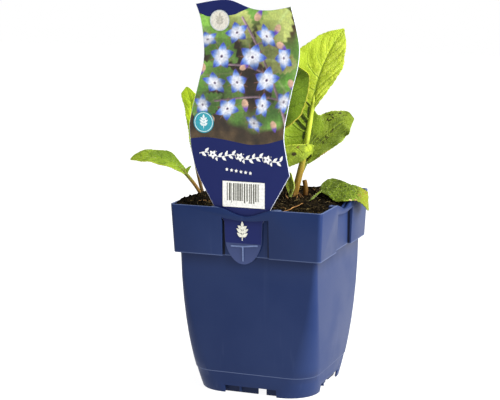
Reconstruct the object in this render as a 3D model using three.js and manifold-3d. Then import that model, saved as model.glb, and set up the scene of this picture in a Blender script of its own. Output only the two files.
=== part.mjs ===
// Eastern borage in a square nursery pot, with its plastic plant label.
// Millimetres, +Z up. The origin is under the middle of the pot, on the ground.
// The front of the pot, where the label hangs, looks along -Y.

import * as THREE from "three";
import { mergeVertices } from "three/addons/utils/BufferGeometryUtils.js";
import Module from "manifold-3d";

// Pot
const POT_HEIGHT = 134;
const RIM_HALF = 55;
const COLLAR_HEIGHT = 34;
const COLLAR_DRAFT = 1.6;
const BODY_TOP_HALF = 50;
const BODY_BASE_HALF = 43.4;
const BODY_BULGE = 6;
const BODY_LEVELS = [22, 30, 40, 52, 66, 82];
const CORNER_RADIUS_TOP = 3;
const CORNER_RADIUS_BASE = 22;
const WALL = 1.3;
const CORNER_SEGMENTS = 8;
const COLLAR_BOTTOM = POT_HEIGHT - COLLAR_HEIGHT;

// Foot of the pot
const SEAM_HEIGHT = 15.6;
const SEAM_STEP = 0.45;
const FLOOR_TOP = 8;
const FOOT_SLOT_HALF = 19;
const FOOT_SLOT_HEIGHT = 5.5;
const FOOT_RING_HALF = 39.6;
const FOOT_RING_RADIUS = 18;
const FOOT_GAP_START = 4.5;
const FOOT_GAP_WIDTH = 6;
const FOOT_RIB_OFFSET = -8;
const HUB_RADIUS = 6;
const HUB_RIB_BOTTOM = 2.5;
const DRAIN_RADIUS = 4;
const DRAIN_CIRCLE = 26;
const DRAIN_COUNT = 8;

// Distances that reach past the pot, for what is cut away
const BEYOND = 20;

// Label socket in the middle of each side of the collar
const SOCKET_HALF = 17;
const SOCKET_WALL_AT = 51.2;
const SLOT_HALF = 23.5;
const SLOT_GAP = 1.7;
const STRAP_END_BOTTOM = 126.9;
const STRAP_SAG = 1.5;
const DIP_HALF = 22;
const DIP_DEPTH = 5.5;
const SOCKET_TOP_FROM = 123.7;
const STRAP_SEAT = 0.6;

// Soil
const SOIL_CLEARANCE = 0.35;
const SOIL_LEVEL = 130.4;
const SOIL_CELLS = 24;
const SOIL_SPAN = 56;
const SOIL_CRUMB = 0.9;
const HOLE_CLEARANCE = 0.4;

// How the soil swells: up along the left and the back wall and at the crown, down at the right
const SOIL_SWELLS = [
  { rise: 3.4, middle: [-47, -10], reach: [11, 18] },
  { rise: 1.8, middle: [-47, -30], reach: [11, 40] },
  { rise: 2.6, middle: [0, 52], reach: [Infinity, 16] },
  { rise: 1.6, middle: [13, 12], reach: [12, 12] },
  { rise: -1.5, middle: [50, 0], reach: [7, Infinity] },
];

// Label
const LABEL_THICKNESS = 0.8;
const LABEL_FACE = -52.45;
const TONGUE_CENTRE = -1.7;
const TONGUE_HALF = 13.8;
const TONGUE_SHOULDER = 112;
const TONGUE_BOTTOM = 95;
const TONGUE_TOP = 124;
const TONGUE_FLANK = 101;
const TONGUE_TAPER = 0.4;
const TONGUE_FULLNESS = 1.8;
const TONGUE_ROUNDING = 5.5;

// The label's edges as points across and up: the slopes above the tongue, the board's right
// edge upwards, its top edge leftwards and its left edge downwards
const RIGHT_SLOPE = [[16.3, 131], [31.4, 157.8]];
const RIGHT_EDGE = [
  [27.6, 177.9], [27.4, 188], [29.7, 200.7], [32.6, 214.3], [36.8, 231], [37.4, 246.5], [31.8, 269.7],
];
const TOP_EDGE = [[17.2, 267.2], [5, 268], [-10.2, 273.3], [-20.5, 273.3], [-35.6, 270.6]];
const LEFT_EDGE = [
  [-32.3, 261.3], [-30.1, 246.4], [-30.2, 232.6], [-33.7, 218.8], [-40, 194], [-40.6, 184],
  [-39.2, 171], [-36.4, 160], [-33, 151.7],
];
const LEFT_SLOPE = [[-21.2, 131]];

// Leaves
const BLADE_THICKNESS = 0.7;
const QUILT = 0.35;
const CURL_STEPS = 12;
const WAVE_LAG = 2;
const STALK_SIDES = 8;
const RIB_STEPS = 10;
const RIB_KEPT = 8;
const STALK_STEPS = 7;
const RIB_TIP_RADIUS = 0.5;

const COLOURS = {
  pot: 0x2b3f74,
  soil: 0x2a1c13,
  label: 0x26306a,
  leafLight: 0xb7cf3a,
  leafMid: 0x86a83a,
  leafDark: 0x5f8a34,
  bud: 0x8a6a3c,
};

// Each leaf: the stalk and the midrib are cubic curves given by four points,
// the face is the direction that the upper side looks to at the base and at the tip.
// A row of a side says, at a share of the midrib: share, vein length, rise of the
// blade out of the midrib in degrees, its curl towards the face, and the sweep of the
// veins towards the tip.
const LEAVES = {
  leaf_upright: {
    colour: COLOURS.leafLight,
    stalk: [[8, 9.5, 118], [14.2, 11.8, 137], [19.2, 13.2, 160], [22.5, 13.9, 182]],
    stalkRadius: [2.8, 1.9],
    rib: [[22.5, 13.9, 182], [25.7, 14.7, 200], [26.4, 16.5, 226], [42.9, 29.2, 251]],
    face: [[0.36, -0.93, 0.15], [0.36, -0.93, 0.3]],
    veins: 9,
    columns: [11, 5],
    fold: [0.54, 0.3],
    wave: [0.9, 4, 0.1],
    left: [
      [0, 21, -10, 0, -78], [0.05, 29, -10, 15, -52], [0.13, 33, -10, 90, -24],
      [0.22, 43, -10, 172, -2], [0.33, 47, -10, 188, 4], [0.44, 41, -8, 168, 10],
      [0.54, 29.5, -4, 60, 15], [0.66, 20, 0, 10, 20], [0.85, 10.4, 4, 0, 28], [1, 0.5, 4, 0, 10],
    ],
    right: [
      [0, 0.8, 10, 0, 0], [0.2, 1.4, 10, 0, 22], [0.35, 8.6, 10, 0, 29],
      [0.6, 14.9, 10, 0, 24], [0.8, 11, 10, 0, 21], [0.92, 6.2, 10, 0, 11], [1, 0.5, 10, 0, 0],
    ],
  },
  leaf_back: {
    colour: COLOURS.leafDark,
    stalk: [[6.9, 15.5, 118], [9.7, 16.6, 135], [14.8, 17.4, 148], [18.9, 17.9, 156]],
    stalkRadius: [2.1, 1.5],
    rib: [[18.9, 17.9, 156], [25.1, 21.3, 166], [35.2, 28.4, 182], [49, 35.8, 187]],
    face: [[0.36, -0.93, 0.2], [0.36, -0.93, 0.2]],
    veins: 7,
    columns: [6, 5],
    wave: [0.9, 3.5, 0.4],
    left: [
      [0, 10, 0, 0, 30], [0.15, 18, 0, 0, 28], [0.28, 22, 0, 0, 32], [0.38, 25, 0, 0, 38],
      [0.45, 19, 0, 0, 36], [0.5, 17, 0, 5, 34], [0.6, 15, 0, 10, 26], [0.72, 12.6, 0, 10, 21],
      [0.8, 10.2, 0, 10, 18], [0.9, 7.6, 0, 0, 14], [0.96, 5.4, 0, 0, 6], [1, 0.5, 0, 0, 0],
    ],
    right: [
      [0, 2, 0, 0, 10], [0.2, 6, 0, 0, 20], [0.45, 9.6, 0, -10, 20], [0.6, 10.3, 0, -10, 17],
      [0.7, 9, 0, -10, 15], [0.78, 8.6, 0, -5, 10], [0.9, 4.8, 0, 0, 2], [1, 0.5, 0, 0, 0],
    ],
    lobe: {
      rib: [[19.4, 18, 156.5], [28.6, 17.2, 167], [29.2, 2, 168], [-1.4, -8.4, 159]],
      face: [[0.93, 0.36, 0], [0.36, -0.93, 0]],
      veins: 6,
      columns: [4, 4],
      wave: [0.5, 3, 0.2],
      left: [
        [0, 0.6, 0, 0, 0], [0.3, 0.6, 0, 0, 0], [0.45, 2, 0, 0, 0], [0.6, 4.6, 0, 0, 0],
        [0.8, 7.4, 0, 0, 10], [1, 0.5, 0, 0, 0],
      ],
      right: [
        [0, 3, 0, 0, 0], [0.3, 5.2, 0, 0, 0], [0.6, 6.3, 0, 0, 0],
        [0.8, 8, 0, 0, 10], [1, 0.5, 0, 0, 0],
      ],
    },
  },
  leaf_left: {
    colour: COLOURS.leafMid,
    stalk: [[-43.3, -15.4, 124], [-46.2, -16.5, 134.5], [-52.3, -17.2, 142.5], [-58.9, -18.1, 149.5]],
    stalkRadius: [1.2, 0.9],
    rib: [[-58.9, -18.1, 149.5], [-68.1, -20.6, 160], [-84.4, -25.7, 164], [-96.1, -30.1, 159]],
    face: [[0.09, -0.23, 1], [0.12, -0.33, 1]],
    veins: 6,
    columns: [4, 4],
    wave: [0.8, 3, 0],
    left: [
      [0, 2, 0, 0, 0], [0.15, 5, 0, 0, 0], [0.4, 9, 0, 0, 0],
      [0.7, 8, 0, 0, 0], [0.9, 4, 0, 0, 0], [1, 0.4, 0, 0, 0],
    ],
    right: [
      [0, 3, 0, 0, 0], [0.15, 6, 0, 0, 0], [0.38, 13.5, 0, 0, 0], [0.6, 12, 0, 0, 0],
      [0.8, 9, 0, 0, 0], [0.92, 5.5, 0, 0, 0], [1, 0.4, 0, 0, 0],
    ],
  },
  leaf_behind_label: {
    colour: COLOURS.leafLight,
    stalk: [[-44.8, -10.1, 120], [-49.2, -11.2, 136], [-52.3, -10.8, 147], [-55.1, -9.8, 160]],
    stalkRadius: [1.4, 1.1],
    rib: [[-55.1, -9.8, 160], [-57.5, -9.1, 176], [-56.2, -4.3, 192], [-64.1, -3, 209.3]],
    face: [[-0.02, -1.08, 0.2], [-0.02, -1.08, 0.2]],
    veins: 6,
    columns: [4, 5],
    wave: [0.6, 3, 0.3],
    left: [
      [0, 1, 0, 0, 0], [0.3, 3.5, 0, 0, 15], [0.6, 5.5, 0, 0, 20],
      [0.82, 6, 0, 0, 15], [0.93, 5.5, 0, 0, 5], [1, 0.5, 0, 0, 0],
    ],
    right: [
      [0, 1, 0, 0, 0], [0.3, 11, 0, 0, 20], [0.6, 15, 0, 0, 5],
      [0.83, 9, 0, 0, -15], [0.95, 4, 0, 0, -25], [1, 0.5, 0, 0, 0],
    ],
  },
  leaf_over_rim: {
    colour: COLOURS.leafDark,
    stalk: [[23.8, 0, 118], [25.6, 1.5, 130], [27, 8, 133.6], [30, 21, 135.8]],
    stalkRadius: [0.9, 0.65],
    rib: [[30, 21, 135.8], [42, 21, 137.8], [68.2, 22.5, 142], [59, 37, 122.6]],
    face: [[0.1, -0.3, 1], [1, -0.25, 0.6]],
    veins: 7,
    columns: [5, 5],
    wave: [0.5, 4, 0.6],
    left: [
      [0, 3, 0, 0, -30], [0.06, 11, 0, 0, -26], [0.18, 18.6, 0, 0, -10], [0.25, 15, 0, 0, -5],
      [0.33, 10.2, 0, 0, 0], [0.5, 6, 0, 0, 0], [0.62, 4.8, 0, 0, 0], [0.72, 5.4, 0, 0, 0],
      [0.85, 5.4, 0, 0, 5], [0.95, 4, 0, 0, 5], [1, 0.4, 0, 0, 0],
    ],
    right: [
      [0, 2, 0, 0, 10], [0.1, 6.5, 0, 0, 6], [0.24, 15.4, 0, 0, 4], [0.4, 18.5, 6, 0, 2],
      [0.54, 14, 10, 0, 0], [0.7, 12.4, 0, 0, 6], [0.85, 9.4, 0, 0, 8], [0.95, 4, 0, 0, 0],
      [1, 0.4, 0, 0, 0],
    ],
  },
  young_leaf: {
    colour: COLOURS.leafMid,
    stalk: [[11, 4, 118], [11.5, 4.4, 126], [11.8, 4.7, 130], [11.8, 4.9, 134]],
    stalkRadius: [1.6, 1.3],
    rib: [[11.8, 4.9, 134], [13.2, 5.5, 140], [12.6, 5.3, 147], [9.5, 4.2, 151.5]],
    face: [[-0.3, -1.18, 0], [-0.3, -1.18, 0]],
    veins: 4,
    columns: [3, 3],
    wave: [0.2, 2, 0],
    left: [[0, 1, 10, 20, 0], [0.4, 4, 10, 30, 0], [0.8, 3, 10, 20, 10], [1, 0.4, 0, 0, 0]],
    right: [[0, 1, 10, 20, 0], [0.4, 4, 10, 30, 0], [0.8, 3, 10, 20, 10], [1, 0.4, 0, 0, 0]],
  },
};

// A shoot that has lost its leaf, beside the crown
const STUB = {
  stalk: [[17.2, 19.4, 120], [17.9, 19.9, 130], [19, 20.3, 138], [17.2, 20.1, 143.2]],
  stalkRadius: [2.3, 1.6],
};

const wasm = await Module();
wasm.setup();

// Solids: from a three.js geometry to a manifold solid and back
function solid(geometry) {
  const bare = geometry.clone();
  bare.deleteAttribute("normal");
  bare.deleteAttribute("uv");
  const merged = mergeVertices(bare, 1e-4);
  return new wasm.Manifold(new wasm.Mesh({
    numProp: 3,
    vertProperties: new Float32Array(merged.attributes.position.array),
    triVerts: new Uint32Array(merged.index.array),
  }));
}

function geometryOf(body) {
  const mesh = body.getMesh();
  const geometry = new THREE.BufferGeometry();
  geometry.setAttribute("position", new THREE.BufferAttribute(mesh.vertProperties, 3));
  geometry.setIndex(new THREE.BufferAttribute(mesh.triVerts, 1));
  geometry.computeVertexNormals();
  return geometry;
}

function box(x0, x1, y0, y1, z0, z1) {
  const geometry = new THREE.BoxGeometry(x1 - x0, y1 - y0, z1 - z0);
  geometry.translate((x0 + x1) / 2, (y0 + y1) / 2, (z0 + z1) / 2);
  return geometry;
}

// The same cut or rib on all four sides of the pot
function onFourSides(geometry) {
  return [0, 1, 2, 3].map((k) => solid(geometry.clone().rotateZ(k * Math.PI / 2)));
}

const joined = (first, others) => others.reduce((sum, next) => sum.add(next), first);
const cut = (first, others) => others.reduce((rest, next) => rest.subtract(next), first);

// A square with round corners at one height, as a closed ring of points
function roundedSquare(half, radius, z) {
  const ring = [];
  const centre = half - radius;
  for (let corner = 0; corner < 4; corner += 1) {
    const start = -Math.PI / 2 + corner * Math.PI / 2;
    const cx = corner < 2 ? centre : -centre;
    const cy = corner === 1 || corner === 2 ? centre : -centre;
    for (let i = 0; i <= CORNER_SEGMENTS; i += 1) {
      const angle = start + (i / CORNER_SEGMENTS) * Math.PI / 2;
      ring.push([cx + radius * Math.cos(angle), cy + radius * Math.sin(angle), z]);
    }
  }
  return ring;
}

// A closed body through rings of equal length, with flat ends
function loft(rings) {
  const count = rings[0].length;
  const positions = rings.flat(2);
  const index = [];
  for (let level = 0; level + 1 < rings.length; level += 1) {
    for (let i = 0; i < count; i += 1) {
      const a = level * count + i;
      const b = level * count + (i + 1) % count;
      index.push(a, b, b + count, a, b + count, a + count);
    }
  }
  const last = (rings.length - 1) * count;
  for (let i = 1; i + 1 < count; i += 1) {
    index.push(0, i + 1, i);
    index.push(last, last + i, last + i + 1);
  }
  const geometry = new THREE.BufferGeometry();
  geometry.setAttribute("position", new THREE.Float32BufferAttribute(positions, 3));
  geometry.setIndex(index);
  return geometry;
}

// Pot
const heightShare = (z) => Math.min(1, Math.max(0, 1 - z / COLLAR_BOTTOM));

function bodyHalf(z) {
  const low = heightShare(z);
  const drop = BODY_TOP_HALF - BODY_BASE_HALF - BODY_BULGE;
  return BODY_TOP_HALF - drop * low - BODY_BULGE * low ** 3;
}

function cornerRadius(z) {
  return CORNER_RADIUS_TOP + (CORNER_RADIUS_BASE - CORNER_RADIUS_TOP) * heightShare(z) ** 1.5;
}

const collarHalf = (z) => {
  const share = Math.min(1, Math.max(0, (z - COLLAR_BOTTOM) / COLLAR_HEIGHT));
  return RIM_HALF - COLLAR_DRAFT * (1 - share);
};

const bodyRing = (z, inset) => roundedSquare(bodyHalf(z) - inset, cornerRadius(z) - inset * 0.9, z);
const collarRing = (z, inset) => roundedSquare(collarHalf(z) - inset, CORNER_RADIUS_TOP - inset, z);

function potOutside() {
  const foot = [0, 5, 10, SEAM_HEIGHT - 0.4].map((z) => bodyRing(z, SEAM_STEP));
  const body = [SEAM_HEIGHT, ...BODY_LEVELS, COLLAR_BOTTOM + 1].map((z) => bodyRing(z, 0));
  const collar = [COLLAR_BOTTOM, POT_HEIGHT].map((z) => collarRing(z, 0));
  return solid(loft([...foot, ...body])).add(solid(loft(collar)));
}

// The space inside the walls, smaller by a clearance: the pot is cut with it and the soil fills it
function potInside(clearance) {
  const inset = WALL + clearance;
  const levels = [FLOOR_TOP + clearance, SEAM_HEIGHT, ...BODY_LEVELS, COLLAR_BOTTOM + WALL + 1];
  const body = solid(loft(levels.map((z) => bodyRing(z, inset))));
  const top = POT_HEIGHT + BEYOND;
  const collarLevels = [COLLAR_BOTTOM + WALL + clearance, POT_HEIGHT, top];
  const collar = solid(loft(collarLevels.map((z) => collarRing(z, inset))));
  const wallBack = -(SOCKET_WALL_AT - WALL - clearance);
  const front = -(RIM_HALF + BEYOND);
  const low = SOCKET_HALF + inset;
  const wide = SLOT_HALF + inset;
  const sockets = [
    ...onFourSides(box(-low, low, front, wallBack, COLLAR_BOTTOM, top + 1)),
    ...onFourSides(box(-wide, wide, front, wallBack, SOCKET_TOP_FROM - clearance, top + 1)),
  ];
  return body.add(cut(collar, sockets));
}

// An outline in the front plane, extruded from y0 back to y1
function frontExtrusion(points, y0, y1) {
  const shape = new THREE.Shape(points.map(([x, z]) => new THREE.Vector2(x, z)));
  const geometry = new THREE.ExtrudeGeometry(shape, { depth: y1 - y0, bevelEnabled: false });
  return geometry.rotateX(Math.PI / 2).translate(0, y1, 0);
}

function arcPoints(half, height, steps) {
  return Array.from({ length: steps + 1 }, (_, i) => {
    const x = half - (2 * half * i) / steps;
    return [x, height(x)];
  });
}

function socketCuts() {
  const front = -(RIM_HALF + BEYOND);
  const above = POT_HEIGHT + BEYOND;
  const strapBottom = (x) => STRAP_END_BOTTOM - STRAP_SAG * (1 - (x / SOCKET_HALF) ** 2);
  const recess = [
    [-SOCKET_HALF, COLLAR_BOTTOM - 1], [SOCKET_HALF, COLLAR_BOTTOM - 1],
    ...arcPoints(SOCKET_HALF, strapBottom, 8),
  ];
  const dipCurve = (x) => POT_HEIGHT - DIP_DEPTH * Math.cos((Math.PI * x) / (2 * DIP_HALF)) ** 2;
  const dip = [[-DIP_HALF, above], [-DIP_HALF, POT_HEIGHT]]
    .concat(arcPoints(DIP_HALF, dipCurve, 12).reverse().slice(1))
    .concat([[DIP_HALF, above]]);
  const slotFront = -(SOCKET_WALL_AT + SLOT_GAP);
  const slotBottom = STRAP_END_BOTTOM - STRAP_SAG - STRAP_SEAT;
  const behindWall = -SOCKET_WALL_AT + WALL + 1;
  return [
    ...onFourSides(frontExtrusion(recess, front, -SOCKET_WALL_AT)),
    ...onFourSides(frontExtrusion(dip, front, behindWall)),
    ...onFourSides(box(-SLOT_HALF, SLOT_HALF, slotFront, -SOCKET_WALL_AT, slotBottom, above)),
  ];
}

function footCuts() {
  const floorUnder = FLOOR_TOP - WALL;
  const under = loft([-1, 3, floorUnder].map((z) => bodyRing(z, SEAM_STEP + WALL)));
  const slotBack = -(BODY_BASE_HALF - SEAM_STEP - WALL - 1);
  const slot = box(-FOOT_SLOT_HALF, FOOT_SLOT_HALF, -BODY_TOP_HALF, slotBack, -1, FOOT_SLOT_HEIGHT);
  return [solid(under), ...onFourSides(slot)];
}

function footRibs() {
  const top = FLOOR_TOP - WALL / 2;
  const outer = FOOT_RING_HALF;
  const inner = FOOT_RING_HALF - WALL;
  const ringOutside = loft([0, top].map((z) => roundedSquare(outer, FOOT_RING_RADIUS, z)));
  const ringInside = loft([-1, top + 1].map((z) => roundedSquare(inner, FOOT_RING_RADIUS - WALL, z)));
  const ring = solid(ringOutside).subtract(solid(ringInside));
  const gapEnd = FOOT_GAP_START + FOOT_GAP_WIDTH;
  const gap = box(FOOT_GAP_START, gapEnd, -outer - 1, -inner + 1, -1, FOOT_SLOT_HEIGHT);
  const openRing = cut(ring, onFourSides(gap));
  const ribStart = -(bodyHalf(0) - SEAM_STEP - WALL / 2);
  const rib = box(FOOT_RIB_OFFSET - WALL / 2, FOOT_RIB_OFFSET + WALL / 2, ribStart, -inner, 1, top);
  const hub = new THREE.CylinderGeometry(HUB_RADIUS, HUB_RADIUS, top, 24);
  hub.rotateX(Math.PI / 2).translate(0, 0, top / 2);
  const spoke = box(-WALL / 2, WALL / 2, -outer + WALL / 2, 0, HUB_RIB_BOTTOM, top);
  return [openRing, ...onFourSides(rib), solid(hub), ...onFourSides(spoke)];
}

function drainHoles() {
  return Array.from({ length: DRAIN_COUNT }, (_, k) => {
    const angle = ((k + 0.5) / DRAIN_COUNT) * 2 * Math.PI;
    const hole = new THREE.CylinderGeometry(DRAIN_RADIUS, DRAIN_RADIUS, 6, 12).rotateX(Math.PI / 2);
    hole.translate(DRAIN_CIRCLE * Math.cos(angle), DRAIN_CIRCLE * Math.sin(angle), FLOOR_TOP);
    return solid(hole);
  });
}

function potSolid() {
  const shell = cut(potOutside().subtract(potInside(0)), [...socketCuts(), ...footCuts()]);
  return cut(joined(shell, footRibs()), drainHoles());
}

// Curves of the plant
function curveOf(points) {
  return new THREE.CubicBezierCurve3(...points.map((p) => new THREE.Vector3(...p)));
}

// A value between rows, smooth and without overshoot
function between(rows, share, column) {
  const at = rows.map((row) => row[0]);
  const value = rows.map((row) => row[column]);
  const last = rows.length - 1;
  if (share <= at[0]) return value[0];
  if (share >= at[last]) return value[last];
  const slope = at.slice(1).map((next, i) => (value[i + 1] - value[i]) / (next - at[i]));
  const tangent = at.map((_, i) => {
    if (i === 0) return slope[0];
    if (i === last) return slope[last - 1];
    const product = slope[i - 1] * slope[i];
    return product <= 0 ? 0 : (2 * product) / (slope[i - 1] + slope[i]);
  });
  let i = 0;
  while (at[i + 1] <= share) i += 1;
  const span = at[i + 1] - at[i];
  const t = (share - at[i]) / span;
  return value[i] * (1 + 2 * t) * (1 - t) ** 2 + tangent[i] * span * t * (1 - t) ** 2
    + value[i + 1] * t * t * (3 - 2 * t) + tangent[i + 1] * span * t * t * (t - 1);
}

// How far a blade has curled at a share of its vein: evenly, or in one fold
function curlShare(share, fold) {
  if (!fold) return share;
  const t = Math.min(1, Math.max(0, (share - fold[0] + fold[1]) / (2 * fold[1])));
  return t * t * (3 - 2 * t);
}

const degrees = Math.PI / 180;

// A point of the blade: share along the midrib, share along the vein, side -1 or 1
function bladePoint(leaf, along, across, side) {
  const rib = curveOf(leaf.rib);
  const origin = rib.getPoint(along);
  const forward = rib.getTangent(along);
  const face = new THREE.Vector3(...leaf.face[0]).lerp(new THREE.Vector3(...leaf.face[1]), along);
  face.addScaledVector(forward, -face.dot(forward)).normalize();
  const outward = new THREE.Vector3().crossVectors(forward, face).multiplyScalar(side);
  const rows = side < 0 ? leaf.left : leaf.right;
  const [length, rise, curl, sweep] = [1, 2, 3, 4].map((column) => between(rows, along, column));
  const reach = length * Math.cos(sweep * degrees) * across;
  const fold = side < 0 ? leaf.fold : null;
  const steps = Math.round(across * CURL_STEPS);
  let x = 0;
  let y = 0;
  for (let i = 0; i < steps; i += 1) {
    const angle = (rise + curl * curlShare(across * (i + 0.5) / steps, fold)) * degrees;
    x += Math.cos(angle) * reach / steps;
    y += Math.sin(angle) * reach / steps;
  }
  const edgeAngle = (rise + curl * curlShare(across, fold)) * degrees;
  const fade = Math.min(1, 6 * along) * Math.min(1, 5 * (1 - along));
  const phase = 2 * Math.PI * (leaf.wave[1] * along + leaf.wave[2]) + (side > 0 ? 0 : WAVE_LAG);
  const wave = leaf.wave[0] * Math.sin(phase) * across ** 2 * fade;
  const quilt = QUILT * Math.abs(Math.sin(Math.PI * leaf.veins * along)) * Math.sin(Math.PI * across) * fade;
  const lift = wave + quilt;
  return origin.addScaledVector(outward, x - Math.sin(edgeAngle) * lift)
    .addScaledVector(face, y + Math.cos(edgeAngle) * lift)
    .addScaledVector(forward, length * Math.sin(sweep * degrees) * across);
}

// The blade as a thin closed shell: the same grid of triangles on both faces
function bladeGeometry(leaf) {
  const rows = 2 * leaf.veins;
  const [leftColumns, rightColumns] = leaf.columns;
  const columns = leftColumns + rightColumns;
  const grid = [];
  for (let i = 0; i <= rows; i += 1) {
    const row = [];
    for (let j = -leftColumns; j <= rightColumns; j += 1) {
      const across = j < 0 ? -j / leftColumns : j / rightColumns;
      row.push(bladePoint(leaf, i / rows, across, j < 0 ? -1 : 1));
    }
    grid.push(row);
  }
  const normalAt = (i, j) => {
    const up = grid[Math.min(rows, i + 1)][j].clone().sub(grid[Math.max(0, i - 1)][j]);
    const side = grid[i][Math.min(columns, j + 1)].clone().sub(grid[i][Math.max(0, j - 1)]);
    return side.cross(up).normalize();
  };
  const positions = [];
  for (const sign of [0.5, -0.5]) {
    for (let i = 0; i <= rows; i += 1) {
      for (let j = 0; j <= columns; j += 1) {
        const p = grid[i][j].clone().addScaledVector(normalAt(i, j), sign * BLADE_THICKNESS);
        positions.push(p.x, p.y, p.z);
      }
    }
  }
  const width = columns + 1;
  const back = (rows + 1) * width;
  const index = [];
  for (let i = 0; i < rows; i += 1) {
    for (let j = 0; j < columns; j += 1) {
      const a = i * width + j;
      const [b, c, d] = [a + 1, a + width + 1, a + width];
      index.push(a, b, c, a, c, d);
      index.push(back + a, back + c, back + b, back + a, back + d, back + c);
    }
  }
  const edge = [];
  for (let j = 0; j < columns; j += 1) edge.push(j);
  for (let i = 0; i < rows; i += 1) edge.push(i * width + columns);
  for (let j = columns; j > 0; j -= 1) edge.push(rows * width + j);
  for (let i = rows; i > 0; i -= 1) edge.push(i * width);
  edge.forEach((a, k) => {
    const b = edge[(k + 1) % edge.length];
    index.push(a, back + a, back + b, a, back + b, b);
  });
  const geometry = new THREE.BufferGeometry();
  geometry.setAttribute("position", new THREE.Float32BufferAttribute(positions, 3));
  geometry.setIndex(index);
  return geometry;
}

// A round stem along points, with a radius at each of them
function stemGeometry(points, radii) {
  const rings = points.map((point, i) => {
    const forward = points[Math.min(points.length - 1, i + 1)].clone()
      .sub(points[Math.max(0, i - 1)]).normalize();
    const side = new THREE.Vector3().crossVectors(new THREE.Vector3(0.94, 0.34, 0), forward).normalize();
    const other = new THREE.Vector3().crossVectors(forward, side);
    return Array.from({ length: STALK_SIDES }, (_, k) => {
      const angle = (k / STALK_SIDES) * 2 * Math.PI;
      const p = point.clone().addScaledVector(side, radii[i] * Math.cos(angle))
        .addScaledVector(other, radii[i] * Math.sin(angle));
      return [p.x, p.y, p.z];
    });
  });
  return loft(rings);
}

function stemAlong(points, radius, steps, extra = 0) {
  const curve = curveOf(points);
  const shares = Array.from({ length: steps + 1 }, (_, i) => i / steps);
  const radii = shares.map((t) => radius[0] + (radius[1] - radius[0]) * t + extra);
  return { points: shares.map((t) => curve.getPoint(t)), radii };
}

function leafSolid(leaf) {
  const stalk = stemAlong(leaf.stalk, leaf.stalkRadius, STALK_STEPS);
  const rib = stemAlong(leaf.rib, [leaf.stalkRadius[1], RIB_TIP_RADIUS], RIB_STEPS);
  const points = [...stalk.points, ...rib.points.slice(1, RIB_KEPT + 1)];
  const radii = [...stalk.radii, ...rib.radii.slice(1, RIB_KEPT + 1)];
  const whole = solid(stemGeometry(points, radii)).add(solid(bladeGeometry(leaf)));
  return leaf.lobe ? whole.add(solid(bladeGeometry(leaf.lobe))) : whole;
}

function stubSolid() {
  const stem = stemAlong(STUB.stalk, STUB.stalkRadius, STALK_STEPS);
  return solid(stemGeometry(stem.points, stem.radii));
}

// Soil: crumbs on a gentle surface that is heaped up at the left
function seededNoise(seed) {
  let state = seed;
  return () => {
    state = (state * 1664525 + 1013904223) % 4294967296;
    return state / 4294967296 - 0.5;
  };
}

function soilLevel(x, y) {
  const swells = SOIL_SWELLS.map(({ rise, middle, reach }) => (
    rise * Math.exp(-(((x - middle[0]) / reach[0]) ** 2) - ((y - middle[1]) / reach[1]) ** 2)
  ));
  return swells.reduce((level, swell) => level + swell, SOIL_LEVEL);
}

function soilTop() {
  const noise = seededNoise(7);
  const step = (2 * SOIL_SPAN) / SOIL_CELLS;
  const width = SOIL_CELLS + 1;
  const top = [];
  for (let j = 0; j < width; j += 1) {
    for (let i = 0; i < width; i += 1) {
      const x = -SOIL_SPAN + i * step;
      const y = -SOIL_SPAN + j * step;
      top.push([x, y, soilLevel(x, y) + 2 * SOIL_CRUMB * noise()]);
    }
  }
  const base = top.map(([x, y]) => [x, y, 0]);
  const count = top.length;
  const index = [];
  const quad = (a, b, c, d) => index.push(a, b, c, a, c, d);
  for (let j = 0; j < SOIL_CELLS; j += 1) {
    for (let i = 0; i < SOIL_CELLS; i += 1) {
      const a = j * width + i;
      quad(a, a + 1, a + width + 1, a + width);
      quad(count + a, count + a + width, count + a + width + 1, count + a + 1);
    }
  }
  for (let i = 0; i < SOIL_CELLS; i += 1) {
    const far = SOIL_CELLS * width + i;
    const left = i * width;
    const right = left + SOIL_CELLS;
    quad(count + i, count + i + 1, i + 1, i);
    quad(count + far + 1, count + far, far, far + 1);
    quad(count + left + width, count + left, left, left + width);
    quad(count + right, count + right + width, right + width, right);
  }
  const geometry = new THREE.BufferGeometry();
  geometry.setAttribute("position", new THREE.Float32BufferAttribute([...top, ...base].flat(), 3));
  geometry.setIndex(index);
  return geometry;
}

function stemHole(plant) {
  const [foot, ...rest] = plant.stalk;
  const deeper = [foot[0], foot[1], foot[2] - HOLE_CLEARANCE];
  const stem = stemAlong([deeper, ...rest], plant.stalkRadius, STALK_STEPS, HOLE_CLEARANCE);
  return solid(stemGeometry(stem.points, stem.radii));
}

function soilSolid() {
  const fill = potInside(SOIL_CLEARANCE).intersect(solid(soilTop()));
  return cut(fill, [...Object.values(LEAVES), STUB].map(stemHole));
}

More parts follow.
